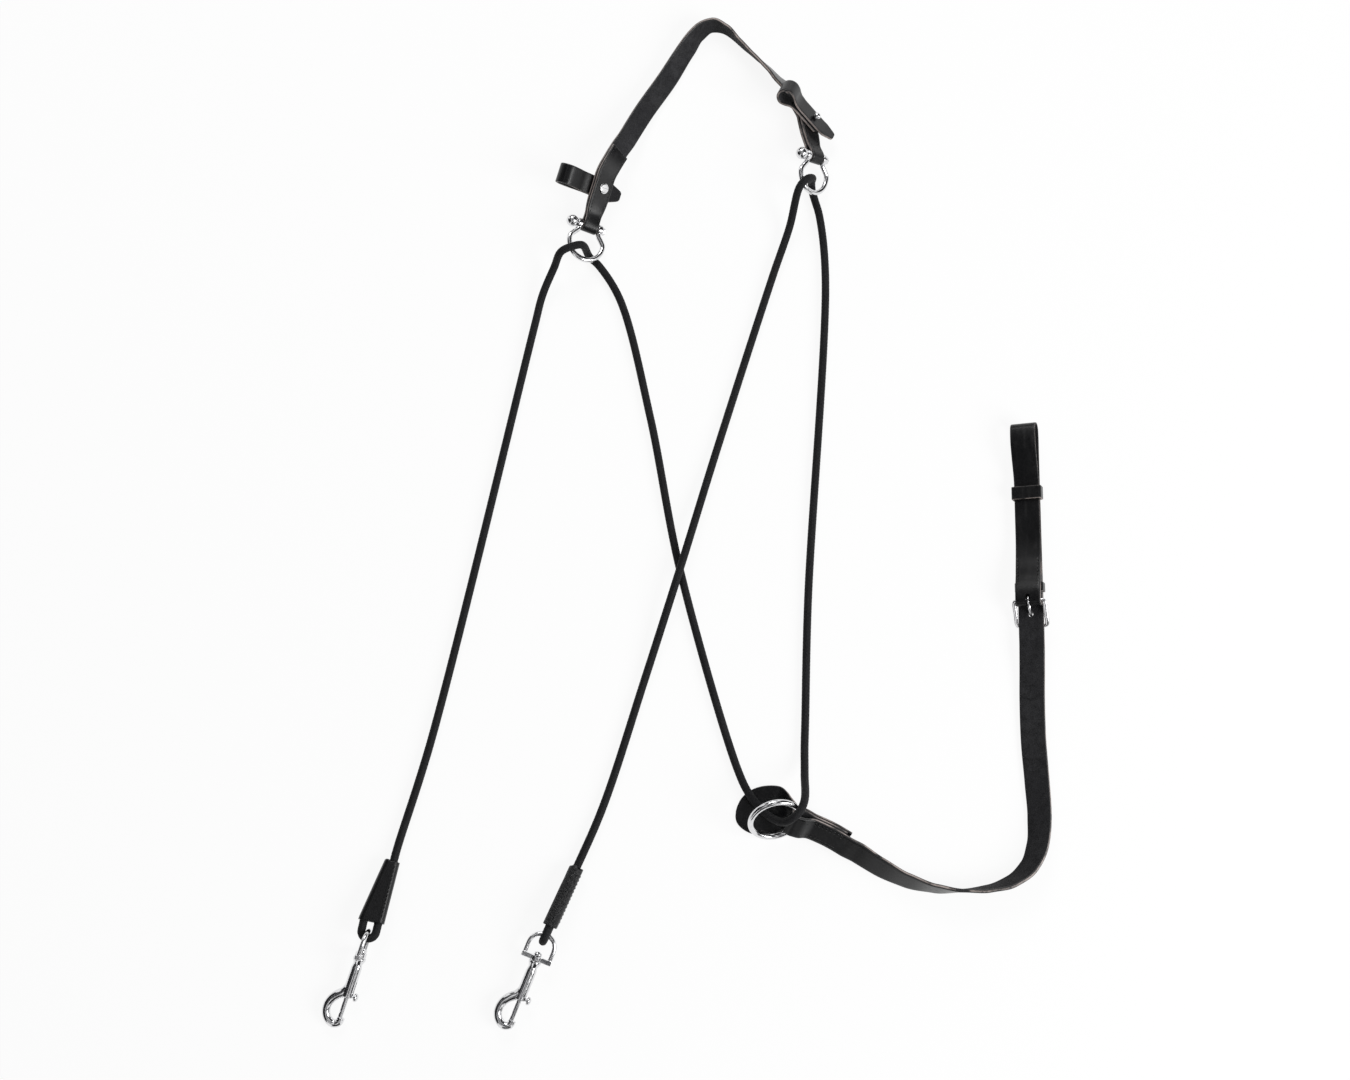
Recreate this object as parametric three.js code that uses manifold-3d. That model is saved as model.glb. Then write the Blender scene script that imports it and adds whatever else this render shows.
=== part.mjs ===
// A lungeing martingale (chambon) laid out flat on its floor: a leather poll strap with a
// bow shackle at each end, one round cord that runs snap - shackle - breast ring -
// shackle - snap, and a leather girth strap that is buckled back on itself as a loop.
// Millimetres, +Z up, the floor at z = 0.

import * as THREE from 'three';
import { mergeVertices } from 'three/addons/utils/BufferGeometryUtils.js';
import Module from 'manifold-3d';

const wasm = await Module();
wasm.setup();

// ---- Driving dimensions ------------------------------------------------------------

const SEAT_GAP = 0.3;          // left between pieces that rest on each other
const RUN_GAP = 0.4;           // left round a piece that turns or slides

const CORD_DIAMETER = 8;
const CORD_SIDES = 8;

const POLL_WIDTH = 22;
const POLL_END_WIDTH = 16;     // where the strap is narrowed to go between a shackle's eyes
const POLL_THICKNESS = 3.6;
const POLL_TURNBACK = 84;      // length of the strap end folded back from the shackle pin
const STUD_FROM_PIN = 41;

const TAB_WIDTH = 20;
const TAB_THICKNESS = 2.8;
const TAB_LOOP_REACH = 47;     // from the stud to the end of the loop
const TAB_LOOP_RADIUS = 8.5;
const TAB_TAIL = 28;           // from the stud to the tip

const PIN_DIAMETER = 5;
const PIN_BALL_DIAMETER = 12.5;
const PIN_HEAD_DIAMETER = 8;
const BOW_WIRE = 5.5;
const BOW_RADIUS = 18.4;       // centre line of the round part
const BOW_DROP = 18;           // from the pin to the centre of the round part
const BOW_EYE_THICKNESS = 5;

const RING_RADIUS = 24;        // centre line
const RING_WIRE = 6;

const GIRTH_WIDTH = 25;
const GIRTH_THICKNESS = 3.6;
const GIRTH_TURNBACK = 50;     // strap end sewn back from the breast ring
const SAFE_THICKNESS = 2.8;

const BUCKLE_WIRE = 3.8;
const BUCKLE_LENGTH = 24;      // from the bar to the far side, centre to centre
const TONGUE_WIRE = 2.8;
const CHAPE_TURNBACK = 46;
const LOOP_END = 179;          // from the buckle bar to the top of the girth loop
const LOOP_RADIUS = 7.5;
const KEEPER_FROM_TOP = 70;    // from the top of the loop to the middle of its keeper
const KEEPER_LENGTH = 13;
const KEEPER_THICKNESS = 2;
const CHAPE_KEEPER_LENGTH = 9;
const CHAPE_KEEPER_THICKNESS = 1.3;

const SLEEVE_LENGTH = 60;
const SLEEVE_WALL = 1.5;
const STRAND_OFFSET = 7;     // from the middle of a cord end's fold to each strand

const EYE_WIRE = 4.5;
const EYE_HEIGHT = 24;         // from the crossbar to the top of the arch
const EYE_HALF_WIDTH = 12.8;
const POST_DIAMETER = 5.2;
const BARREL_DIAMETER = 11;
const BARREL_END = 42;         // from the crossbar to the open end of the barrel
const BOLT_DIAMETER = 4.6;
const BOLT_TOP = 33;
const BOLT_TIP = 62.5;
const BORE_TOP = 13;
const KNOB_AT = 40;
const BOLT_TRAVEL = 12;
const SPRING_WIRE = 0.7;
const SPRING_TURNS = 6;

// ---- Finishes ----------------------------------------------------------------------

const leather = new THREE.MeshStandardMaterial({ color: 0x17171a, roughness: 0.55 });
const suede = new THREE.MeshStandardMaterial({ color: 0x222226, roughness: 0.9 });
const braid = new THREE.MeshStandardMaterial({ color: 0x101012, roughness: 0.8 });
const plate = new THREE.MeshStandardMaterial({ color: 0xd8dade, roughness: 0.12, metalness: 1 });
const steel = new THREE.MeshStandardMaterial({ color: 0xa9abae, roughness: 0.35, metalness: 1 });

// ---- Solids ------------------------------------------------------------------------

const V = (x, y, z) => new THREE.Vector3(x, y, z);

function solidOf(geometry) {
  const bare = geometry.clone();
  bare.deleteAttribute('normal');
  bare.deleteAttribute('uv');
  const merged = mergeVertices(bare, 1e-4);
  return new wasm.Manifold(new wasm.Mesh({
    numProp: 3,
    vertProperties: Float32Array.from(merged.attributes.position.array),
    triVerts: Uint32Array.from(merged.index.array),
  }));
}

function geometryOf(manifold) {
  const mesh = manifold.getMesh();
  const geometry = new THREE.BufferGeometry();
  geometry.setAttribute('position', new THREE.BufferAttribute(mesh.vertProperties, 3));
  geometry.setIndex(new THREE.BufferAttribute(mesh.triVerts, 1));
  return geometry;
}

function join(...geometries) {
  return geometryOf(geometries.map(solidOf).reduce((whole, piece) => whole.add(piece)));
}

function cut(geometry, ...tools) {
  return geometryOf(tools.map(solidOf).reduce((rest, tool) => rest.subtract(tool), solidOf(geometry)));
}

// A line through stations { at, across } whose section keeps to the stations' own width
// direction instead of turning freely round the line.
class StationLine extends THREE.Curve {
  constructor(stations) {
    super();
    this.stations = stations;
  }

  getSpacedPoints() {
    return this.stations.map(station => station.at);
  }

  computeFrenetFrames() {
    const tangents = headings(this.stations);
    const normals = this.stations.map(({ across }) => across.clone().normalize());
    const binormals = tangents.map((tangent, i) => tangent.clone().cross(normals[i]).normalize());
    return { tangents, normals, binormals };
  }
}

// Direction of travel at each station of a row.
function headings(stations) {
  const last = stations.length - 1;
  return stations.map((station, i) =>
    stations[Math.min(i + 1, last)].at.clone().sub(stations[Math.max(i - 1, 0)].at).normalize());
}

function extrudeAlong(stations, shape) {
  return new THREE.ExtrudeGeometry(shape, {
    extrudePath: new StationLine(stations),
    steps: stations.length - 1,
    curveSegments: 1,
  });
}

// The corners of a leather strap's section, with its edges taken off.
function strapSection(width, thickness) {
  const w = width / 2;
  const t = thickness / 2;
  const bevel = Math.min(0.6, w / 3);
  return [[w, -t + bevel], [w, t - bevel], [w - bevel, t], [bevel - w, t],
    [-w, t - bevel], [-w, bevel - t], [bevel - w, -t], [w - bevel, -t]];
}

function roundSection(radius, sides, flatness = 1) {
  return Array.from({ length: sides }, (_, k) => {
    const turn = 2 * Math.PI * k / sides;
    return [radius * flatness * Math.cos(turn), radius * Math.sin(turn)];
  });
}

function shapeOf(section) {
  return new THREE.Shape(section.map(([x, y]) => new THREE.Vector2(x, y)));
}

// A leather strap of one width through stations { at, across }.
function strap(stations, width, thickness) {
  return extrudeAlong(stations, shapeOf(strapSection(width, thickness)));
}

// Stations along plain points, with a section direction carried from one to the next.
function carried(points) {
  const stations = points.map(at => ({ at, across: null }));
  let across = null;
  headings(stations).forEach((travel, i) => {
    across ??= Math.abs(travel.z) > 0.9 ? V(1, 0, 0) : V(0, 0, 1);
    across = across.clone().addScaledVector(travel, -across.dot(travel)).normalize();
    stations[i].across = across;
  });
  return stations;
}

function wire(points, radius, sides = 10) {
  return extrudeAlong(carried(points), shapeOf(roundSection(radius, sides)));
}

// A closed body through stations that each bring a section of their own.
function loft(stations, sections) {
  const line = new StationLine(stations).computeFrenetFrames();
  const sides = sections[0].length;
  const points = stations.flatMap(({ at }, i) => sections[i].map(([x, y]) =>
    at.clone().addScaledVector(line.normals[i], x).addScaledVector(line.binormals[i], y)));
  const faces = [];
  for (let r = 0; r < stations.length - 1; r++) {
    for (let i = 0; i < sides; i++) {
      const a = r * sides + i;
      const b = r * sides + (i + 1) % sides;
      faces.push(a, b, b + sides, a, b + sides, a + sides);
    }
  }
  const last = (stations.length - 1) * sides;
  for (let i = 1; i < sides - 1; i++) {
    faces.push(0, i + 1, i, last, last + i, last + i + 1);
  }
  const geometry = new THREE.BufferGeometry();
  geometry.setAttribute('position', new THREE.Float32BufferAttribute(points.flatMap(p => p.toArray()), 3));
  geometry.setIndex(faces);
  return geometry;
}

// A leather strap whose width changes, through stations { at, across, width }.
function taperedStrap(stations, thickness) {
  return loft(stations, stations.map(({ width }) => strapSection(width, thickness)));
}

// Points of a smooth line through hand-placed ones, some more in each span.
function smooth(points, perSpan) {
  return new THREE.CatmullRomCurve3(points).getPoints((points.length - 1) * perSpan);
}

function cylinderAlong(axis, radius, from, to, sides = 18) {
  const geometry = new THREE.CylinderGeometry(radius, radius, to - from, sides);
  geometry.translate(0, (from + to) / 2, 0);
  if (axis === 'x') geometry.rotateZ(-Math.PI / 2);
  if (axis === 'z') geometry.rotateX(Math.PI / 2);
  return geometry;
}

// A frame with its own origin and directions, as a group for pieces and for points.
function frameAt(origin, xAxis, yAxis) {
  const x = xAxis.clone().normalize();
  const y = yAxis.clone().addScaledVector(x, -yAxis.dot(x)).normalize();
  const group = new THREE.Group();
  group.position.copy(origin);
  group.quaternion.setFromRotationMatrix(new THREE.Matrix4().makeBasis(x, y, x.clone().cross(y)));
  group.updateMatrixWorld(true);
  return group;
}

const martingale = new THREE.Group();

function add(parent, name, geometry, material) {
  const piece = new THREE.Mesh(geometry, material);
  piece.name = name;
  parent.add(piece);
  return piece;
}

const degrees = THREE.MathUtils.degToRad;

// ---- Straps that lie and lean on the floor -------------------------------------------

// A strap's middle line: each row is x, y, z of the middle and the lean of its width,
// 0 when it lies flat with its left edge to the left, 90 when it stands on edge.
class LeaningLine {
  constructor(rows) {
    this.middle = new THREE.CatmullRomCurve3(rows.map(([x, y, z]) => V(x, y, z)));
    this.leans = rows.map(row => row[3]);
    this.middle.arcLengthDivisions = 600;
    this.length = this.middle.getLength();
  }

  // Station at a distance from the start, moved off the middle along the face.
  station(distance, offset = 0) {
    const u = THREE.MathUtils.clamp(distance / this.length, 0, 1);
    const t = this.middle.getUtoTmapping(u);
    const at = this.middle.getPoint(t);
    const travel = this.middle.getTangent(t);
    const place = t * (this.leans.length - 1);
    const before = Math.min(Math.floor(place), this.leans.length - 2);
    const part = place - before;
    const ease = part * part * (3 - 2 * part);
    const lean = degrees(THREE.MathUtils.lerp(this.leans[before], this.leans[before + 1], ease));
    const left = V(0, 0, 1).cross(travel).normalize();
    const rise = travel.clone().cross(left);
    const across = left.multiplyScalar(Math.cos(lean)).addScaledVector(rise, Math.sin(lean));
    const face = travel.clone().cross(across);
    at.addScaledVector(face, offset);
    return { at, across, travel, face };
  }
}

function range(from, to, count) {
  return Array.from({ length: count }, (_, i) => from + (to - from) * i / (count - 1));
}

// Offset of a folded strap end from the middle line between its two layers: wide where
// they hold the pin, closed where they lie on each other, none past the turned-back end.
function layerOffset(distance, { radius, closed, hold, turnback }) {
  if (distance < hold) return radius;
  if (distance < hold + 14) return radius + (closed - radius) * THREE.MathUtils.smoothstep(distance, hold, hold + 14);
  return closed * (1 - THREE.MathUtils.smoothstep(distance, turnback + 4, turnback + 20));
}

// Stations round what the fold holds, from one face of the strap to the other.
function foldStations({ at, across, travel, face }, radius, towards, startSide) {
  return range(0, 180, 8).slice(1, -1).map(turn => ({
    at: at.clone()
      .addScaledVector(face, startSide * radius * Math.cos(degrees(turn)))
      .addScaledVector(travel, towards * radius * Math.sin(degrees(turn))),
    across,
  }));
}

// ---- Poll strap --------------------------------------------------------------------

const POLL_LINE = [
  [-107.5, 282.5, 15.8, 26],
  [-103.2, 295.5, 18.6, 35],
  [-99, 308.6, 21.4, 44],
  [-94.7, 321.6, 24.2, 44],
  [-90.5, 334.7, 27, 44],
  [-83, 349, 27.4, 43],
  [-72.5, 369, 22.5, 40],
  [-52, 409, 11.2, 37],
  [-28, 446, 8.4, 35],
  [-8, 479, 9.2, 46],
  [5, 497, 10.6, 62],
  [19, 505, 11.2, 78],
  [34, 500, 11.3, 92],
  [49, 485, 11.3, 101],
  [63, 471, 11.2, 107],
  [79, 455, 11.2, 114],
  [95, 435, 11.3, 127],
  [104.5, 424, 11.6, 133],
  [110.5, 413, 12.6, 136],
  [114.9, 403.2, 14, 136],
  [116.5, 394.4, 15.4, 136],
  [117.9, 386.7, 16.7, 136],
  [119.5, 378, 18.2, 136],
  [121.1, 369.3, 19.6, 137],
  [122.5, 361.6, 20.9, 138],
  [123.7, 354.8, 22, 138],
];

const pollLine = new LeaningLine(POLL_LINE);
const pollFold = {
  radius: PIN_DIAMETER / 2 + SEAT_GAP + POLL_THICKNESS / 2,
  closed: (POLL_THICKNESS + SEAT_GAP) / 2,
  hold: 1,
  turnback: POLL_TURNBACK,
};

function pollStation(distance, sign) {
  const fromPin = Math.min(distance, pollLine.length - distance);
  return {
    ...pollLine.station(distance, sign * layerOffset(fromPin, pollFold)),
    width: THREE.MathUtils.lerp(POLL_END_WIDTH, POLL_WIDTH, THREE.MathUtils.smoothstep(fromPin, 6, 30)),
  };
}

function pollFoldStations(end, towards, startSide) {
  return foldStations(end, pollFold.radius, towards, startSide)
    .map(station => ({ ...station, width: POLL_END_WIDTH }));
}

const pollStart = pollLine.station(0);
const pollEnd = pollLine.station(pollLine.length);
const turnedBack = range(0, POLL_TURNBACK, 10);
let pollStrap = taperedStrap([
  ...turnedBack.toReversed().map(distance => pollStation(distance, 1)),
  ...pollFoldStations(pollStart, -1, 1),
  ...range(0, pollLine.length, 50).map(distance => pollStation(distance, -1)),
  ...pollFoldStations(pollEnd, 1, -1),
  ...turnedBack.map(distance => pollStation(pollLine.length - distance, 1)),
], POLL_THICKNESS);

// ---- Cheek tabs and their ball studs ---------------------------------------------------

const STUD_POST_RADIUS = 2;
const STUD_BORE_RADIUS = 1.4;
const STUD_FLANGE_RADIUS = 4.8;
const STUD_FLANGE = 1.1;
const STUD_BALL_RADIUS = 3.8;
const SCREW_HEAD_RADIUS = 5.4;
const SCREW_HEAD = 1.4;
const SCREW_RADIUS = 1.05;

const strapFace = pollFold.closed + POLL_THICKNESS / 2;
const tabFixed = -(strapFace + SEAT_GAP + TAB_THICKNESS / 2);
const flangeNear = tabFixed - TAB_THICKNESS / 2 - SEAT_GAP;
const tabFree = flangeNear - STUD_FLANGE - SEAT_GAP - TAB_THICKNESS / 2;
const ballCentre = tabFree - TAB_THICKNESS / 2 - SEAT_GAP - STUD_BALL_RADIUS * 0.75;

// In a tab's frame x runs from the stud to the loop, y along the strap and z out of the
// strap face that carries the screw.
// The layer on the strap stays flat until its corners are past the strap's edge; from there
// the loop may bend away from the strap.
function tabGeometry({ turn, tailLift, bend }) {
  const radius = TAB_LOOP_RADIUS;
  const middle = (tabFixed + tabFree) / 2 + 0.6;
  const centre = TAB_LOOP_REACH - TAB_THICKNESS / 2 - radius;
  const pastEdge = (POLL_WIDTH / 2 + TAB_WIDTH / 2 * Math.sin(degrees(turn))) / Math.cos(degrees(turn)) + 2;
  const between = part => THREE.MathUtils.lerp(pastEdge, centre, part);
  const loop = range(90, -90, 7).map(angle =>
    V(centre + radius * Math.cos(degrees(angle)), 0, middle + radius * Math.sin(degrees(angle))));
  const bent = [
    V(between(0.3), 0, tabFixed + radius * 0.15), V(between(0.68), 0, middle + radius * 0.78), ...loop,
    V(between(0.62), 0, middle - radius * 0.86), V(between(0.28), 0, middle - radius * 0.58),
  ].map(p => p.sub(V(pastEdge, 0, middle)).applyAxisAngle(V(0, 1, 0), degrees(bend)).add(V(pastEdge, 0, middle)));
  const line = [
    V(-9, 0, tabFixed), V(pastEdge, 0, tabFixed), ...bent,
    V(pastEdge - 1, 0, tabFree - 0.5), V(9, 0, tabFree), V(-11, 0, tabFree),
    V(-16, 0, tabFree + tailLift * 0.15), V(-21, 0, tabFree + tailLift * 0.5),
    V(2 - TAB_TAIL, 0, tabFree + tailLift * 0.85), V(-TAB_TAIL, 0, tabFree + tailLift),
  ];
  const tip = line.at(-1);
  const stations = line.map(at => {
    const toTip = Math.min(at.distanceTo(tip), 14) / 14;
    return { at, across: V(0, 1, 0), width: TAB_WIDTH * (0.3 + 0.7 * Math.sin(toTip * Math.PI / 2)) };
  });
  return cut(taperedStrap(stations, TAB_THICKNESS),
    cylinderAlong('z', STUD_POST_RADIUS + SEAT_GAP, tabFree - 4, tabFixed + 4, 14));
}

function studGeometry() {
  const top = strapFace - 0.4;
  const profile = [
    [0, ballCentre - STUD_BALL_RADIUS],
    ...range(-55, 45, 5).map(turn => [
      STUD_BALL_RADIUS * Math.cos(degrees(turn)),
      ballCentre + STUD_BALL_RADIUS * Math.sin(degrees(turn)),
    ]),
    [STUD_POST_RADIUS, ballCentre + Math.sqrt(STUD_BALL_RADIUS ** 2 - STUD_POST_RADIUS ** 2)],
    [STUD_POST_RADIUS, flangeNear - STUD_FLANGE],
    [STUD_FLANGE_RADIUS, flangeNear - STUD_FLANGE],
    [STUD_FLANGE_RADIUS, flangeNear],
    [STUD_POST_RADIUS, flangeNear],
    [STUD_POST_RADIUS, top],
    [STUD_BORE_RADIUS, top],
    [STUD_BORE_RADIUS, flangeNear + 1],
    [0, flangeNear + 1],
  ];
  const turned = new THREE.LatheGeometry(profile.map(([r, z]) => new THREE.Vector2(r, z)), 14);
  return turned.rotateX(Math.PI / 2);
}

function screwGeometry() {
  const face = strapFace + SEAT_GAP;
  const profile = [
    [0, flangeNear + 2],
    [SCREW_RADIUS, flangeNear + 2],
    [SCREW_RADIUS, face],
    [SCREW_HEAD_RADIUS, face],
    [SCREW_HEAD_RADIUS, face + SCREW_HEAD * 0.5],
    [SCREW_HEAD_RADIUS - 1.2, face + SCREW_HEAD],
    [0, face + SCREW_HEAD],
  ];
  const turned = new THREE.LatheGeometry(profile.map(([r, z]) => new THREE.Vector2(r, z)), 14);
  return turned.rotateX(Math.PI / 2);
}

// The right tab stands turned on its stud, as it was left when it was closed.
const tabs = [
  { side: 'left', distance: STUD_FROM_PIN, turn: 0, tailLift: 6.5, bend: 12 },
  { side: 'right', distance: pollLine.length - STUD_FROM_PIN, turn: 38, tailLift: -2, bend: 0 },
];
for (const tab of tabs) {
  const { side, distance, turn } = tab;
  const station = pollLine.station(distance);
  const towardsPin = station.face.clone().cross(station.across);
  const x = station.across.clone().applyAxisAngle(station.face, degrees(turn));
  const y = towardsPin.applyAxisAngle(station.face, degrees(turn));
  const frame = frameAt(station.at, x, y);
  martingale.add(frame);
  const hole = cylinderAlong('z', STUD_POST_RADIUS + SEAT_GAP, -9, 9, 14);
  pollStrap = cut(pollStrap, hole.applyMatrix4(frame.matrixWorld));
  add(frame, `${side}_cheek_tab`, tabGeometry(tab), leather);
  add(frame, `${side}_tab_stud`, studGeometry(), plate);
  add(frame, `${side}_tab_stud_screw`, screwGeometry(), plate);
}
add(martingale, 'poll_strap', pollStrap, leather);

// ---- Bow shackles --------------------------------------------------------------------

// In a shackle's frame the pin lies along x with its ball at -x, y runs up the strap.
const eyeCentre = POLL_END_WIDTH / 2 + RUN_GAP + BOW_EYE_THICKNESS / 2 + 0.4;
const eyeOuter = eyeCentre + BOW_EYE_THICKNESS / 2;

function bowGeometry() {
  const half = [
    V(eyeCentre, -2, 0), V(eyeCentre, -6.5, 0), V((eyeCentre + BOW_RADIUS) / 2, -11, 0),
    ...range(6, -78, 5).map(turn =>
      V(BOW_RADIUS * Math.cos(degrees(turn)), BOW_RADIUS * Math.sin(degrees(turn)) - BOW_DROP, 0)),
  ];
  const other = half.map(p => V(-p.x, p.y, 0)).reverse();
  const line = smooth([...half, V(0, -BOW_RADIUS - BOW_DROP, 0), ...other], 2);
  const eyes = [-1, 1].map(sign => {
    const middle = sign * eyeCentre;
    return cylinderAlong('x', 5.4, middle - BOW_EYE_THICKNESS / 2, middle + BOW_EYE_THICKNESS / 2);
  });
  const hole = cylinderAlong('x', PIN_DIAMETER / 2 + RUN_GAP, -eyeOuter - 2, eyeOuter + 2);
  return cut(join(wire(line, BOW_WIRE / 2, 10), ...eyes), hole);
}

function pinGeometry() {
  const shaft = PIN_DIAMETER / 2;
  const ball = PIN_BALL_DIAMETER / 2;
  const head = PIN_HEAD_DIAMETER / 2;
  const ballSeat = -eyeOuter - SEAT_GAP;
  const ballMiddle = ballSeat - ball * 0.8;
  const headSeat = eyeOuter + SEAT_GAP;
  const profile = [
    [0, ballMiddle - ball],
    ...range(-70, 50, 7).map(turn => [
      ball * Math.cos(degrees(turn)), ballMiddle + ball * Math.sin(degrees(turn)),
    ]),
    [3.6, ballSeat],
    [shaft, ballSeat],
    [shaft, headSeat],
    [head - 0.4, headSeat],
    [head, headSeat + 0.6],
    [head, headSeat + 2],
    [head * 0.75, headSeat + 3.4],
    [head * 0.35, headSeat + 4.1],
    [0, headSeat + 4.3],
  ];
  const turned = new THREE.LatheGeometry(profile.map(([r, y]) => new THREE.Vector2(r, y)), 16);
  return turned.rotateZ(-Math.PI / 2);
}

const shackles = [
  { side: 'left', end: pollStart, along: 1, swing: -19 },
  { side: 'right', end: pollEnd, along: -1, swing: 22 },
];
for (const { side, end, along, swing } of shackles) {
  const frame = frameAt(end.at, end.across.clone().negate(), end.travel.clone().multiplyScalar(along));
  martingale.add(frame);
  add(frame, `${side}_shackle_pin`, pinGeometry(), plate);
  const bow = add(frame, `${side}_shackle_bow`, bowGeometry(), plate);
  bow.rotation.x = degrees(swing);
}

// ---- Breast ring ---------------------------------------------------------------------

const RING_CENTRE = V(76, -317, 28.4);
const ringNormal = V(0.18, -0.75, 0.63).normalize();
const ringLevel = V(0.75, 0.18, 0).normalize();
const ringRise = ringNormal.clone().cross(ringLevel);
const FOLD_ANGLE = -30;        // where the strap holds the ring, from its level radius
const FOLD_SWING = 12;         // of the strap out of the ring's plane

const ringFrame = frameAt(RING_CENTRE, ringLevel, ringRise);
martingale.add(ringFrame);
add(ringFrame, 'breast_ring', new THREE.TorusGeometry(RING_RADIUS, RING_WIRE / 2, 10, 40), plate);

// ---- Girth strap -----------------------------------------------------------------------

// The fold sits where the ring's wire enters and leaves it, and is long enough for the
// wire's bow between the strap's two edges.
const outward = ringLevel.clone().multiplyScalar(Math.cos(degrees(FOLD_ANGLE)))
  .addScaledVector(ringRise, Math.sin(degrees(FOLD_ANGLE)));
const edgeRadius = Math.sqrt(RING_RADIUS ** 2 - (GIRTH_WIDTH / 2) ** 2);
const wireBow = RING_RADIUS - edgeRadius;
const foldPoint = RING_CENTRE.clone().addScaledVector(outward, edgeRadius);
const foldAcross = ringNormal.clone().cross(outward);
const foldTravel = outward.clone().multiplyScalar(Math.cos(degrees(FOLD_SWING)))
  .addScaledVector(ringNormal, Math.sin(degrees(FOLD_SWING)));
const foldFace = foldTravel.clone().cross(foldAcross);
const pastFold = distance => foldPoint.clone().addScaledVector(foldTravel, distance).toArray();

// The loop end lies straight, its right edge raised, and sinks a little towards its top.
const LOOP_TILT = 24;
const LOOP_SINK = 1.5;
const LOOP_ORIGIN = V(331, -104, 13.4);
const loopFrame = frameAt(LOOP_ORIGIN,
  V(Math.cos(degrees(LOOP_TILT)), 0, Math.sin(degrees(LOOP_TILT))),
  V(0, Math.cos(degrees(LOOP_SINK)), -Math.sin(degrees(LOOP_SINK))));
martingale.add(loopFrame);
const STRAIGHT_FROM = -44;     // where the main strap becomes straight, along the loop frame

const loopAcross = V(1, 0, 0).applyQuaternion(loopFrame.quaternion);
const straightStart = V(0, STRAIGHT_FROM, 0).applyMatrix4(loopFrame.matrixWorld);

const foldLean = THREE.MathUtils.radToDeg(Math.asin(foldAcross.z));
const GIRTH_LINE = [
  [...pastFold(0), foldLean],
  [...pastFold(7), foldLean],
  [...pastFold(14), foldLean],
  [130, -332.5, 15.6, 43],
  [154, -347, 14.6, 44],
  [176, -361, 13.2, 50],
  [202, -374, 12.8, 62],
  [230, -382, 13, 76],
  [256, -384, 13.1, 89],
  [282, -382, 13, 99],
  [304, -375, 12.6, 110],
  [321, -361, 11.8, 121],
  [330, -341, 10.8, 132],
  [333, -314, 9.4, 142],
  [332, -280, 8.4, 149],
  [330, -240, 8, 153],
  [330, -200, 8.6, 155],
  [330.6, -172, 10.6, 156],
  [...straightStart.toArray(), 180 - LOOP_TILT],
];
const girthLine = new LeaningLine(GIRTH_LINE);
const girthFold = {
  radius: RING_WIRE / 2 + wireBow * Math.sin(degrees(FOLD_SWING)) + SEAT_GAP + GIRTH_THICKNESS / 2,
  closed: (GIRTH_THICKNESS + SEAT_GAP) / 2,
  hold: wireBow + 2,
  turnback: GIRTH_TURNBACK,
};

function girthStation(distance, sign) {
  return girthLine.station(distance, sign * layerOffset(distance, girthFold));
}

// Heights in the loop frame, where the back layer is the zero level.
const frontLevel = GIRTH_THICKNESS + SEAT_GAP;
const barLevel = GIRTH_THICKNESS / 2 + SEAT_GAP + GIRTH_THICKNESS + SEAT_GAP + BUCKLE_WIRE / 2;
const barFold = BUCKLE_WIRE / 2 + SEAT_GAP + GIRTH_THICKNESS / 2;
const chapeLevel = barLevel - barFold;
const upperLevel = chapeLevel + GIRTH_THICKNESS + SEAT_GAP;

const loopTop = LOOP_END - LOOP_RADIUS;
const loopProfile = [
  ...range(STRAIGHT_FROM + 12, loopTop, 6).map(y => V(0, y, 0)),
  ...range(-60, 60, 5).map(turn =>
    V(0, loopTop + LOOP_RADIUS * Math.cos(degrees(turn)), LOOP_RADIUS * (1 + Math.sin(degrees(turn))))),
  V(0, loopTop, 2 * LOOP_RADIUS),
  V(0, loopTop - 12, 2 * LOOP_RADIUS),
  V(0, loopTop - 26, 11.6),
  V(0, loopTop - 40, 7),
  V(0, loopTop - 50, frontLevel + 0.5),
  ...range(loopTop - 57, CHAPE_TURNBACK + 14, 3).map(y => V(0, y, frontLevel)),
  V(0, CHAPE_TURNBACK + 3, upperLevel - 0.3),
  V(0, CHAPE_TURNBACK - 4, upperLevel),
  V(0, 30, upperLevel),
  V(0, 19, upperLevel + 1.6),
  V(0, 9, barLevel + barFold - 0.5),
  ...range(90, 270, 8).map(turn =>
    V(0, barFold * Math.cos(degrees(turn)), barLevel + barFold * Math.sin(degrees(turn)))),
  ...range(10, CHAPE_TURNBACK, 3).map(y => V(0, y, chapeLevel)),
];

const girthStart = { at: foldPoint, across: foldAcross, travel: foldTravel, face: foldFace };
const sewn = range(0, GIRTH_TURNBACK, 9);
let girthStrap = strap([
  ...sewn.toReversed().map(distance => girthStation(distance, -1)),
  ...foldStations(girthStart, girthFold.radius, -1, -1),
  ...range(0, girthLine.length, 44).map(distance => girthStation(distance, 1)),
  ...loopProfile.map(point => ({ at: point.applyMatrix4(loopFrame.matrixWorld), across: loopAcross })),
], GIRTH_WIDTH, GIRTH_THICKNESS);

// ---- Ring safe: the pad sewn under the strap end --------------------------------------

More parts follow.
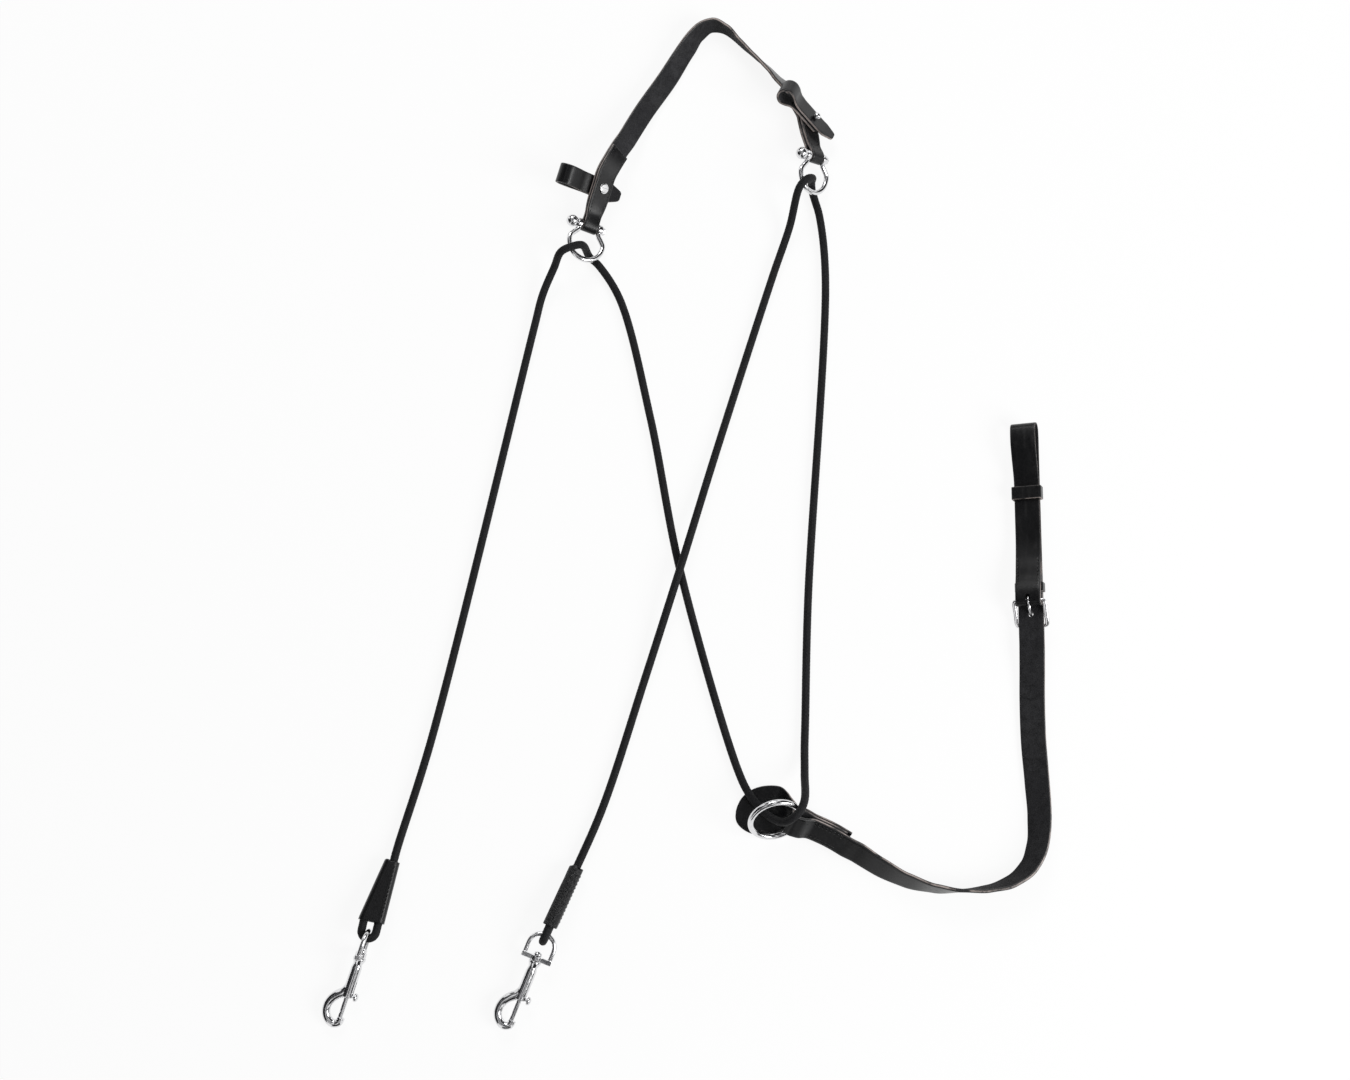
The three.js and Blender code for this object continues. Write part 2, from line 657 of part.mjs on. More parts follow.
const SAFE_PAD = [
  [40.5, -306, 1.9, 2, 10],
  [43, -306, 1.9, 2, 24],
  [48, -306, 2, 2, 35],
  [56, -306.5, 2.3, 2, 44],
  [67, -307.5, 2.5, 2.5, 50],
  [77, -309, 3.3, 4, 50],
  [84, -311, 5.6, 11, 43],
  [88.5, -312.3, 8.3, 22, 36],
];
const safeAcross = V(-foldTravel.y, foldTravel.x, 0).normalize();
const safeUnder = GIRTH_THICKNESS / 2 + SEAT_GAP + SAFE_THICKNESS / 2;
const safeStations = [
  ...SAFE_PAD.map(([x, y, z, lean, width]) => ({
    at: V(x, y, z),
    across: safeAcross.clone().multiplyScalar(Math.cos(degrees(lean))).add(V(0, 0, Math.sin(degrees(lean)))),
    width,
  })),
  ...[...sewn, GIRTH_TURNBACK + 4].map(distance => ({
    ...girthLine.station(distance, -layerOffset(Math.min(distance, GIRTH_TURNBACK), girthFold) - safeUnder),
    width: GIRTH_WIDTH,
  })),
];
add(martingale, 'ring_safe', taperedStrap(safeStations, SAFE_THICKNESS), leather);

// ---- Buckle ------------------------------------------------------------------------

const legX = GIRTH_WIDTH / 2 + RUN_GAP + BUCKLE_WIRE / 2 + 0.3;
const farLevel = -(GIRTH_THICKNESS / 2 + SEAT_GAP + BUCKLE_WIRE / 2);

// A closed wire keeps one direction of its section square to its own plane.
function closedWire(points, radius, sides, perSpan) {
  const curve = new THREE.CatmullRomCurve3(points, true);
  const stations = curve.getPoints(points.length * perSpan);
  const normal = points[1].clone().sub(points[0]).cross(points[3].clone().sub(points[0])).normalize();
  const count = stations.length - 1;
  const section = roundSection(radius, sides);
  const vertices = [];
  const faces = [];
  for (let i = 0; i < count; i++) {
    const travel = stations[i + 1].clone().sub(stations[(i + count - 1) % count]).normalize();
    const side = normal.clone().addScaledVector(travel, -normal.dot(travel)).normalize();
    const face = travel.clone().cross(side);
    const next = (i + 1) % count * sides;
    section.forEach(([x, y], k) => {
      vertices.push(...stations[i].clone().addScaledVector(side, x).addScaledVector(face, y).toArray());
      const beside = (k + 1) % sides;
      faces.push(i * sides + k, i * sides + beside, next + beside, i * sides + k, next + beside, next + k);
    });
  }
  const geometry = new THREE.BufferGeometry();
  geometry.setAttribute('position', new THREE.Float32BufferAttribute(vertices, 3));
  geometry.setIndex(faces);
  return geometry;
}

function buckleFrameGeometry() {
  const corner = 3;
  const place = (x, part) => V(x, -BUCKLE_LENGTH * part, THREE.MathUtils.lerp(barLevel, farLevel, part));
  const step = corner / BUCKLE_LENGTH;
  const right = [
    place(legX / 2, 0), place(legX - corner, 0), place(legX - 0.9, step * 0.3), place(legX, step),
    place(legX, 1 - step), place(legX - 0.9, 1 - step * 0.3), place(legX - corner, 1), place(legX / 2, 1),
  ];
  const left = right.map(p => V(-p.x, p.y, p.z)).reverse();
  return closedWire([...right, ...left], BUCKLE_WIRE / 2, 10, 2);
}

const tongueEye = BUCKLE_WIRE / 2 + RUN_GAP + TONGUE_WIRE / 2;
const tipLevel = farLevel - BUCKLE_WIRE / 2 - SEAT_GAP - TONGUE_WIRE / 2;

function tongueGeometry() {
  const eye = new THREE.TorusGeometry(tongueEye, TONGUE_WIRE / 2, 8, 14);
  eye.rotateY(Math.PI / 2).translate(0, 0, barLevel);
  const shank = smooth([
    V(0, -tongueEye + 0.4, barLevel - 0.3),
    V(0, -7.6, barLevel - 1.6),
    V(0, -11, barLevel - 4.6),
    V(0, -13.4, 0.4),
    V(0, -16.2, -4.4),
    V(0, -20, tipLevel - 0.1),
    V(0, -BUCKLE_LENGTH - 2.6, tipLevel - 0.1),
  ], 2);
  return join(eye, wire(shank, TONGUE_WIRE / 2, 8));
}

const tongueHole = new THREE.CylinderGeometry(2.6, 2.6, 9, 14);
tongueHole.rotateX(Math.PI / 2 - 0.55).translate(0, -13.4, 0.2);
const tongueSlot = new THREE.BoxGeometry(TONGUE_WIRE + 1.4, 2 * tongueEye + 8, 2 * (barFold + GIRTH_THICKNESS));
tongueSlot.translate(0, -2, barLevel + 0.1);
tongueSlot.translate(0, 0, GIRTH_THICKNESS * 0.5);
girthStrap = cut(girthStrap,
  tongueHole.applyMatrix4(loopFrame.matrixWorld),
  tongueSlot.applyMatrix4(loopFrame.matrixWorld));
add(martingale, 'girth_strap', girthStrap, leather);
add(loopFrame, 'buckle_frame', buckleFrameGeometry(), plate);
add(loopFrame, 'buckle_tongue', tongueGeometry(), plate);

// ---- Keepers -----------------------------------------------------------------------

function roundedRectangle(path, x0, z0, x1, z1, r) {
  path.moveTo(x0 + r, z0);
  path.lineTo(x1 - r, z0);
  path.absarc(x1 - r, z0 + r, r, -Math.PI / 2, 0);
  path.lineTo(x1, z1 - r);
  path.absarc(x1 - r, z1 - r, r, 0, Math.PI / 2);
  path.lineTo(x0 + r, z1);
  path.absarc(x0 + r, z1 - r, r, Math.PI / 2, Math.PI);
  path.lineTo(x0, z0 + r);
  path.absarc(x0 + r, z0 + r, r, Math.PI, 1.5 * Math.PI);
  return path;
}

// A profile in the x-z plane of the loop frame, drawn out along the strap.
function alongStrap(shape, length, from) {
  const geometry = new THREE.ExtrudeGeometry(shape, { depth: length, bevelEnabled: false, curveSegments: 4 });
  return geometry.rotateX(Math.PI / 2).translate(0, from + length, 0);
}

const keeperX = GIRTH_WIDTH / 2 + RUN_GAP;
const keeperLow = -GIRTH_THICKNESS / 2 - RUN_GAP;
const keeperHigh = frontLevel + GIRTH_THICKNESS / 2 + RUN_GAP;
const t = KEEPER_THICKNESS;
const keeperShape = roundedRectangle(new THREE.Shape(), -keeperX - t, keeperLow - t, keeperX + t, keeperHigh + t, 2.4);
keeperShape.holes.push(roundedRectangle(new THREE.Path(), -keeperX, keeperLow, keeperX, keeperHigh, 0.4));
add(loopFrame, 'loop_keeper', alongStrap(keeperShape, KEEPER_LENGTH, LOOP_END - KEEPER_FROM_TOP - KEEPER_LENGTH / 2), leather);

// The small keeper's ends are sewn in between the two layers of the buckle's fold.
function chapeKeeperGeometry() {
  const side = GIRTH_WIDTH / 2 + RUN_GAP;
  const wall = CHAPE_KEEPER_THICKNESS;
  const low = -GIRTH_THICKNESS / 2 - RUN_GAP;
  const flap = chapeLevel + GIRTH_THICKNESS / 2 + SEAT_GAP;
  const inner = 5;
  const shape = new THREE.Shape([
    [-side + inner, flap], [-side + inner, flap + wall], [-side - wall, flap + wall],
    [-side - wall, low - wall], [side + wall, low - wall], [side + wall, flap + wall],
    [side - inner, flap + wall], [side - inner, flap], [side, flap], [side, low],
    [-side, low], [-side, flap],
  ].map(([x, z]) => new THREE.Vector2(x, z)));
  return alongStrap(shape, CHAPE_KEEPER_LENGTH, 9);
}
add(loopFrame, 'chape_keeper', chapeKeeperGeometry(), leather);

// ---- Swivel snaps ----------------------------------------------------------------------

// In a snap's frame the barrel lies along y, the eye above the origin, the hook at -x.
function eyeGeometry() {
  const archCentre = EYE_HEIGHT - EYE_HALF_WIDTH;
  const arch = [
    V(EYE_HALF_WIDTH, 0, 0), V(EYE_HALF_WIDTH, archCentre * 0.6, 0),
    ...range(0, 180, 11).map(turn =>
      V(EYE_HALF_WIDTH * Math.cos(degrees(turn)), archCentre + EYE_HALF_WIDTH * Math.sin(degrees(turn)), 0)),
    V(-EYE_HALF_WIDTH, archCentre * 0.6, 0), V(-EYE_HALF_WIDTH, 0, 0),
  ];
  const hoop = wire(arch, EYE_WIRE / 2, 10);
  const crossbar = new THREE.BoxGeometry(2 * EYE_HALF_WIDTH + EYE_WIRE, 4.4, 5.2);
  const boss = cylinderAlong('y', 5.4, -2.2, 2.2, 16);
  const hole = cylinderAlong('y', POST_DIAMETER / 2 + RUN_GAP, -4, 4, 16);
  return cut(join(hoop, crossbar, boss), hole);
}

function snapBodyGeometry() {
  const top = -2.2 - RUN_GAP;
  const radius = BARREL_DIAMETER / 2;
  const post = POST_DIAMETER / 2;
  const headSeat = 2.2 + RUN_GAP;
  const profile = [
    [0, -BARREL_END], [radius - 0.6, -BARREL_END], [radius, -BARREL_END + 0.8],
    [radius - 0.3, -13], [radius - 1.2, -9], [radius - 0.2, -6.4], [radius + 0.7, -4.6],
    [radius + 0.5, top], [post, top], [post, headSeat], [post + 1.3, headSeat],
    [post + 1.6, headSeat + 1.6], [post + 0.9, headSeat + 3], [1.6, headSeat + 3.8], [0, headSeat + 4],
  ];
  const barrel = new THREE.LatheGeometry(profile.map(([r, y]) => new THREE.Vector2(r, y)), 18);
  const perSpan = 2;
  const hookLine = smooth([
    V(-1.6, -33, 0), V(-4.4, -38.4, 0), V(-9, -42.4, 0), V(-13, -47.4, 0), V(-15.2, -54, 0),
    V(-14.6, -61, 0), V(-10.8, -66.8, 0), V(-5, -69.6, 0), V(0, -67.4, 0), V(1.2, -62, 0),
  ], perSpan);
  const thickness = [4.2, 4.6, 4.6, 4.4, 4.2, 4.1, 4.1, 4, 3.9, 3.7];
  const sections = hookLine.map((at, i) => {
    const before = Math.min(Math.floor(i / perSpan), thickness.length - 2);
    const radius = THREE.MathUtils.lerp(thickness[before], thickness[before + 1], i / perSpan - before);
    return roundSection(radius, 10, 0.9);
  });
  const hook = loft(carried(hookLine), sections);
  const bore = cylinderAlong('y', BOLT_DIAMETER / 2 + RUN_GAP, -BOLT_TIP - SEAT_GAP, -BORE_TOP, 14);
  const slotFrom = -KNOB_AT + BOLT_TRAVEL + 2.6;
  const slot = new THREE.BoxGeometry(radius + 2, BARREL_END + slotFrom + 6, 4.2);
  slot.translate((radius + 2) / 2, (slotFrom - BARREL_END - 6) / 2, 0);
  return cut(join(barrel, hook), bore, slot);
}

function boltGeometry() {
  const rod = cylinderAlong('y', BOLT_DIAMETER / 2, -BOLT_TIP, -BOLT_TOP, 14);
  const stem = cylinderAlong('x', 1.5, 0, 8, 10);
  stem.translate(0, -KNOB_AT, 0);
  const knobProfile = [[0, 6.6], [3.4, 6.6], [4.2, 7.4], [4.2, 8.6], [3.4, 9.8], [1.6, 10.6], [0, 10.8]];
  const knob = new THREE.LatheGeometry(knobProfile.map(([r, y]) => new THREE.Vector2(r, y)), 14);
  knob.rotateZ(-Math.PI / 2).translate(0, -KNOB_AT, 0);
  return join(rod, stem, knob);
}

function springGeometry() {
  const radius = BOLT_DIAMETER / 2 - SPRING_WIRE / 2;
  const low = -BOLT_TOP + SEAT_GAP + SPRING_WIRE / 2;
  const high = -BORE_TOP - SEAT_GAP - SPRING_WIRE / 2;
  const steps = SPRING_TURNS * 8;
  const points = range(0, 1, steps + 1).map(part => {
    const turn = 2 * Math.PI * SPRING_TURNS * part;
    return V(radius * Math.cos(turn), low + (high - low) * part, radius * Math.sin(turn));
  });
  return wire(points, SPRING_WIRE / 2, 5);
}

// ---- Cord ends: each is turned round a snap's eye and sewn into a leather sleeve --------

const foldReach = -8.8;        // the eye's bar in the fold, below the sleeve's lower edge
const sleeveInside = CORD_DIAMETER / 2 + RUN_GAP;

// In a sleeve's frame y runs up the cord, the two strands lie side by side along x.
function cordEndGeometry() {
  const radius = STRAND_OFFSET;
  const centre = foldReach - 0.12;
  const beside = radius - CORD_DIAMETER - SEAT_GAP;
  const points = [
    V(beside, 41, 0), V(THREE.MathUtils.lerp(beside, -radius, 0.55), 24, 0), V(-radius, 6, 0), V(-radius, centre + 2, 0),
    ...range(180, 360, 9).map(turn =>
      V(radius * Math.cos(degrees(turn)), centre + radius * Math.sin(degrees(turn)), 0)),
    V(radius, centre + 2, 0), V(radius, 12, 0), V(radius, 30, 0), V(radius, 46, 0),
  ];
  return wire(points, CORD_DIAMETER / 2, CORD_SIDES);
}

// A slot-shaped section from left to right, as high as it is thick.
function stadium(left, right, height) {
  const radius = height / 2;
  const side = (centre, from, to) => range(from, to, 7).map(turn =>
    [centre + radius * Math.cos(degrees(turn)), radius * Math.sin(degrees(turn))]);
  return [...side(right - radius, -90, 90), ...side(left + radius, 90, 270)];
}

function sleeveGeometry() {
  const inner = sleeveInside;
  const right = STRAND_OFFSET + inner;
  const single = STRAND_OFFSET - inner;
  const double = single - CORD_DIAMETER - SEAT_GAP;
  const rows = [[0, -right], [6, -right], [24, double * 0.4 - right * 0.6], [42, double], [SLEEVE_LENGTH, single - 1]];
  const open = [[-1, -right], ...rows.slice(1, -1), [SLEEVE_LENGTH + 1, single - 1]];
  const tube = (ends, wall) => loft(
    ends.map(([y]) => ({ at: V(0, y, 0), across: V(1, 0, 0) })),
    ends.map(([, left]) => stadium(left - wall, right + wall, 2 * (inner + wall))));
  return cut(tube(rows, SLEEVE_WALL), tube(open, 0));
}

const sleeves = [
  {
    side: 'left',
    bottom: V(-310, -413, 17.2),
    up: V(12, 58, -9.4),
    across: V(58, -12, 0),
    snapDown: V(-0.317, -0.948, -0.14),
    hookAcross: V(0.948, -0.317, 0),
    eyeTurn: 90,
  },
  {
    side: 'right',
    bottom: V(-139.5, -417, 14.8),
    up: V(27, 60, -1.2),
    across: V(0, 0, -1),
    snapDown: V(-0.375, -0.925, -0.07),
    hookAcross: V(0.925, -0.375, 0),
    eyeTurn: 0,
  },
];
for (const { side, bottom, up, across, snapDown, hookAcross, eyeTurn } of sleeves) {
  const upward = up.clone().normalize();
  const level = across.clone().addScaledVector(upward, -across.dot(upward));
  const sleeve = frameAt(bottom, level, upward);
  martingale.add(sleeve);
  add(sleeve, `${side}_cord_sleeve`, sleeveGeometry(), side === 'left' ? leather : suede);
  add(sleeve, `${side}_cord_end`, cordEndGeometry(), braid);

  const barPoint = V(0, foldReach, 0).applyMatrix4(sleeve.matrixWorld);
  const down = snapDown.clone().normalize();
  const snap = frameAt(barPoint.addScaledVector(down, EYE_HEIGHT), hookAcross, down.clone().negate());
  martingale.add(snap);
  const eye = add(snap, `${side}_swivel_eye`, eyeGeometry(), plate);
  eye.rotation.y = degrees(eyeTurn);
  add(snap, `${side}_snap_body`, snapBodyGeometry(), plate);
  add(snap, `${side}_snap_bolt`, boltGeometry(), plate);
  add(snap, `${side}_snap_spring`, springGeometry(), steel);
}

// ---- Cord ------------------------------------------------------------------------------

// The free cord's middle line, from inside the left sleeve to inside the right one.
const CORD_ROUTE = [
  [-294.1, -369.6, 9.9],
  [-289.4, -346.7, 6.3],
  [-258, -238, 4.9],
  [-163, 180, 6],
  [-155, 212, 9],
  [-143, 238.6, 17],
  [-134.8, 249.7, 33.9],
  [-122.3, 255.1, 35.6],
  [-114, 257.1, 32.5],
  [-107.2, 252.6, 7.6],
  [-97.7, 243.8, 5.9],
  [-76, 208, 4.5],
  [-45, 85, 4.2],
  [-15, -71, 4.5],
  [41, -268, 5.6],
  [53, -293.5, 9.4],
  [68, -311, 15.5],
  [77, -317.5, 26],
  [86, -319, 37],
  [97, -311.5, 42.2],
  [103.2, -300.5, 38.5],
  [105.8, -272, 13],
  [106.6, -246, 5.4],
  [107.6, -222, 4.4],
  [112, -100, 4.2],
  [134, 230, 4.3],
  [129, 296.3, 4.8],
  [123.9, 315.6, 5.6],
  [121.3, 324.2, 7.6],
  [120.4, 330.2, 12.4],
  [119.6, 328.8, 31.6],
  [114.2, 325.7, 37.3],
  [106.6, 317.5, 36.7],
  [97.4, 283.9, 10.3],
  [80, 233, 5.6],
  [22, 51, 5.2],
  [-15, -71, 12.6],
  [-50, -181, 5.6],
  [-90.3, -305, 4.9],
  [-120.6, -374.9, 7.1],
];
const cordPoints = CORD_ROUTE.map(([x, y, z]) => V(x, y, z));

// The origin is on the floor under the middle of everything but the free cord.
martingale.updateMatrixWorld(true);
const extent = new THREE.Box3().setFromObject(martingale, true);
const middle = extent.getCenter(V(0, 0, 0));
add(martingale, 'cord', wire(smooth(cordPoints, 2), CORD_DIAMETER / 2, CORD_SIDES), braid);
martingale.position.set(-middle.x, -middle.y, -extent.min.z);

export default martingale;
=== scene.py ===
import math

import bpy
import numpy as np
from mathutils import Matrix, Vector


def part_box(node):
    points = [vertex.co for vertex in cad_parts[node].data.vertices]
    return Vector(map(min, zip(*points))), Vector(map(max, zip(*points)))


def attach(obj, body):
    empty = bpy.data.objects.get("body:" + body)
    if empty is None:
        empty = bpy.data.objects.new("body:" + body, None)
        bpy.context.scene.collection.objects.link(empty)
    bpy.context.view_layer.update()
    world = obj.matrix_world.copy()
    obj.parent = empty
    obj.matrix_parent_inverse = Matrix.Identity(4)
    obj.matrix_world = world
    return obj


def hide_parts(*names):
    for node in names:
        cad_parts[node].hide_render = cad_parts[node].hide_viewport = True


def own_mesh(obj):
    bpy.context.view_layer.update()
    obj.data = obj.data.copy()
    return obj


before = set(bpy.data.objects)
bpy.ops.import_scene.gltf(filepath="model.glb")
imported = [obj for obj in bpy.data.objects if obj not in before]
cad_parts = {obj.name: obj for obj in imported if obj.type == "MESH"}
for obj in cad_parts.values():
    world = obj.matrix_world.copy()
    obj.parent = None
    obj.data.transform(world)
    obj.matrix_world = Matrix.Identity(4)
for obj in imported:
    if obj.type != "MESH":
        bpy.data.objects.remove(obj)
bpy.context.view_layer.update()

# ---- Studio ---------------------------------------------------------------------------
# The martingale lies spread out on a plain white floor under broad soft lights, and is
# looked at from almost straight above, a little from the side of the snaps.

scene = bpy.context.scene
scene.view_settings.view_transform = "Standard"

# The drawing's own zero, found from the breast ring, whose box is even round its middle.
RING_CENTRE = np.array((76, -317, 28.4))
ring_low, ring_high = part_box("breast_ring")
ORIGIN = np.array((ring_low + ring_high) / 2) * 1000 - RING_CENTRE


def set_up(thing, place, aim):
    """Puts a camera or a lamp at its place, turned towards what it is aimed at."""
    thing.location = place
    thing.rotation_mode = "QUATERNION"
    thing.rotation_quaternion = (Vector(aim) - Vector(place)).to_track_quat("-Z", "Y")
    scene.collection.objects.link(thing)


CAMERA_ELEVATION = math.radians(80)
CAMERA_DISTANCE = 1.8
camera_aim = Vector((np.array((-20, -40, 0)) + ORIGIN) / 1000)
camera_back = Vector((0, -math.cos(CAMERA_ELEVATION), math.sin(CAMERA_ELEVATION)))
camera = bpy.data.objects.new("camera", bpy.data.cameras.new("camera"))
camera.data.sensor_width = 36
camera.data.lens = 48
set_up(camera, camera_aim + camera_back * CAMERA_DISTANCE, camera_aim)
scene.camera = camera


def add_node(tree, kind, settings=None, **values):
    """A shader node with its settings, and its inputs set to values or fed by outputs.

    An input goes by its name, or by its number as i0, i1 and so on.
    """
    made = tree.nodes.new(kind if kind.startswith("Node") else "ShaderNode" + kind)
    for key, value in (settings or {}).items():
        setattr(made, key, value)
    for key, value in values.items():
        socket = made.inputs[int(key[1:]) if key[1:].isdigit() else key.replace("_", " ")]
        if isinstance(value, bpy.types.NodeSocket):
            tree.links.new(value, socket)
        else:
            socket.default_value = value
    return made


def calculate(tree, operation, *values):
    numbered = {"i%d" % number: value for number, value in enumerate(values)}
    return add_node(tree, "Math", {"operation": operation}, **numbered).outputs[0]


def backdrop_rays(tree):
    """A mask that is 1 for what the camera, a mirror or a glass sees, and 0 for light."""
    rays = add_node(tree, "LightPath").outputs
    mirrored = calculate(tree, "MAXIMUM", rays["Is Camera Ray"], rays["Is Glossy Ray"])
    return calculate(tree, "MAXIMUM", mirrored, rays["Is Transmission Ray"])


SKY_LIGHT = 0.25
world = bpy.data.worlds.new("studio")
scene.world = world
world.use_nodes = True
sky = world.node_tree
sky.nodes.clear()
sky_light = add_node(sky, "Background", Strength=SKY_LIGHT, Color=(1, 1, 1, 1))
sky_seen = add_node(sky, "Background", Strength=1, Color=(1, 1, 1, 1))
sky_both = add_node(sky, "MixShader", i0=backdrop_rays(sky), i1=sky_light.outputs[0], i2=sky_seen.outputs[0])
add_node(sky, "OutputWorld", Surface=sky_both.outputs[0])


def standing(name, points, faces):
    """A piece of the studio's own: the floor or a card."""
    mesh = bpy.data.meshes.new(name)
    mesh.from_pydata(points, [], faces)
    thing = bpy.data.objects.new(name, mesh)
    scene.collection.objects.link(thing)
    paint = bpy.data.materials.new(name + "_paint")
    paint.use_nodes = True
    paint.node_tree.nodes.clear()
    mesh.materials.append(paint)
    return thing, paint.node_tree


FLOOR_HALF = 6
FLOOR_WHITE_SHARE = 0.9
floor_corners = [(x * FLOOR_HALF, y * FLOOR_HALF, 0) for x, y in ((-1, -1), (1, -1), (1, 1), (-1, 1))]
_, floor_tree = standing("floor", floor_corners, [(0, 1, 2, 3)])
floor_share = calculate(floor_tree, "MULTIPLY", backdrop_rays(floor_tree), FLOOR_WHITE_SHARE)
floor_matt = add_node(floor_tree, "BsdfDiffuse", Color=(0.96, 0.96, 0.96, 1))
floor_white = add_node(floor_tree, "Emission", Color=(1, 1, 1, 1))
floor_both = add_node(floor_tree, "MixShader", i0=floor_share, i1=floor_matt.outputs[0],
                      i2=floor_white.outputs[0])
add_node(floor_tree, "OutputMaterial", Surface=floor_both.outputs[0])

# Dark cards stand round the table and hang over it, out of sight: only polished metal
# and the gloss of leather show them, with the white gaps between them as highlights.
CARD_REACH, CARD_FOOT, CARD_TOP = 2.6, 0.12, 2.6
CEILING_HEIGHT, CEILING_FRONT, CEILING_BACK = 2.75, -2.4, 2.5
SIDE_GREY, CEILING_GREY = 0.03, 0.12
cards = []
for start, width in ((8, 56), (80, 50), (150, 76), (244, 46), (306, 42)):
    corners = [(CARD_REACH * math.cos(a), CARD_REACH * math.sin(a), z)
               for z in (CARD_FOOT, CARD_TOP) for a in np.radians(np.linspace(start, start + width, 5))]
    cards.append((SIDE_GREY, corners, [(k, k + 1, k + 6, k + 5) for k in range(4)]))
for west, east in ((-2.6, -1.0), (-0.62, 0.45), (0.8, 2.6)):
    plan = ((west, CEILING_FRONT), (east, CEILING_FRONT), (east, CEILING_BACK), (west, CEILING_BACK))
    cards.append((CEILING_GREY, [(x, y, CEILING_HEIGHT) for x, y in plan], [(0, 1, 2, 3)]))
for number, (tone, corners, faces) in enumerate(cards):
    card, card_tree = standing("dark_card_%d" % number, corners, faces)
    card.visible_camera = card.visible_diffuse = card.visible_transmission = card.visible_shadow = False
    card_matt = add_node(card_tree, "BsdfDiffuse", Color=(tone, tone, tone * 1.06, 1))
    add_node(card_tree, "OutputMaterial", Surface=card_matt.outputs[0])

for name, place, size, power in (
    ("key_light", (2.3, -1.1, 1.75), 1.6, 78),
    ("back_light", (-0.4, 2.3, 1.9), 1.3, 34),
):
    lamp = bpy.data.lights.new(name, "AREA")
    lamp.size = size
    lamp.energy = power
    set_up(bpy.data.objects.new(name, lamp), place, (0, 0, 0))

# ---- Cord -----------------------------------------------------------------------------
# One round cord, 8 mm thick, plaited from eight flat strands of black yarn. It leaves the
# left sleeve, runs through the left shackle, the breast ring and the right shackle, and
# goes into the right sleeve.

CORD_DIAMETER = 8
CORD_ROUTE = (
    (-294.1, -369.6, 9.9), (-289.4, -346.7, 6.3), (-258, -238, 4.9), (-163, 180, 6), (-155, 212, 9),
    (-143, 238.6, 17), (-134.8, 249.7, 33.9), (-122.3, 255.1, 35.6), (-114, 257.1, 32.5),
    (-107.2, 252.6, 7.6), (-97.7, 243.8, 5.9), (-76, 208, 4.5), (-45, 85, 4.2), (-15, -71, 4.5),
    (41, -268, 5.6), (53, -293.5, 9.4), (68, -311, 15.5), (77, -317.5, 26), (86, -319, 37),
    (97, -311.5, 42.2), (103.2, -300.5, 38.5), (105.8, -272, 13), (106.6, -246, 5.4),
    (107.6, -222, 4.4), (112, -100, 4.2), (134, 230, 4.3), (129, 296.3, 4.8), (123.9, 315.6, 5.6),
    (121.3, 324.2, 7.6), (120.4, 330.2, 12.4), (119.6, 328.8, 31.6), (114.2, 325.7, 37.3),
    (106.6, 317.5, 36.7), (97.4, 283.9, 10.3), (80, 233, 5.6), (22, 51, 5.2), (-15, -71, 12.6),
    (-50, -181, 5.6), (-90.3, -305, 4.9), (-120.6, -374.9, 7.1),
)


def laid(points):
    """Millimetres of the drawing as metres of the frame."""
    return (np.asarray(points, float) + ORIGIN) / 1000


def through(points, per_span):
    """A smooth line through points, with so many steps between each two."""
    p = np.array(points, float)
    p = np.vstack([2 * p[0] - p[1], p, 2 * p[-1] - p[-2]])
    line = []
    for p0, p1, p2, p3 in zip(p, p[1:], p[2:], p[3:]):
        d0, d1, d2 = (max(np.linalg.norm(span[:3]), 1e-6) ** 0.5 for span in (p1 - p0, p2 - p1, p3 - p2))
        m1 = ((p1 - p0) / d0 - (p2 - p0) / (d0 + d1) + (p2 - p1) / d1) * d1
        m2 = ((p2 - p1) / d1 - (p3 - p1) / (d1 + d2) + (p3 - p2) / d2) * d1
        for s in np.arange(per_span) / per_span:
            bend = (3 * (p2 - p1) - 2 * m1 - m2) * s ** 2 + (2 * (p1 - p2) + m1 + m2) * s ** 3
            line.append(p1 + m1 * s + bend)
    line.append(p[-2])
    return np.array(line)


def distances(line):
    """Each point's distance from the line's start."""
    return np.concatenate([[0], np.cumsum(np.linalg.norm(np.diff(line[:, :3], axis=0), axis=1))])


def picked(at, along, values):
    """Values that are known along a line, at other distances along it."""
    return np.stack([np.interp(at, along, column) for column in np.asarray(values).T], -1)


def evenly(line, step):
    """The line again with points about a step apart."""
    along = distances(line)
    return picked(np.linspace(0, along[-1], max(2, math.ceil(along[-1] / step) + 1)), along, line)


def unit(v):
    v = np.asarray(v, float)
    return v / np.maximum(np.linalg.norm(v, axis=-1, keepdims=True), 1e-12)


def circle(count):
    """The cosines and sines of so many even steps round a circle."""
    turn = np.arange(count) / count * 2 * np.pi
    return np.cos(turn), np.sin(turn)


def wire_rows(line, radius, sides=24):
    """Rows of points round a line, at one radius, or one for each row or for each point."""
    line = np.asarray(line, float)
    travel = unit(np.gradient(line, axis=0))
    side = [np.cross(travel[0], (0, 0, 1) if abs(travel[0][2]) < 0.9 else (1, 0, 0))]
    for t in travel:
        side.append(unit(side[-1] - t * (side[-1] @ t)))
    side = np.array(side[1:])[:, None]
    cos, sin = (part[None, :, None] for part in circle(sides))
    radius = np.asarray(radius) if np.ndim(radius) == 2 else np.reshape(radius, (-1, 1))
    return line[:, None] + (cos * side + sin * np.cross(travel[:, None], side)) * radius[..., None]


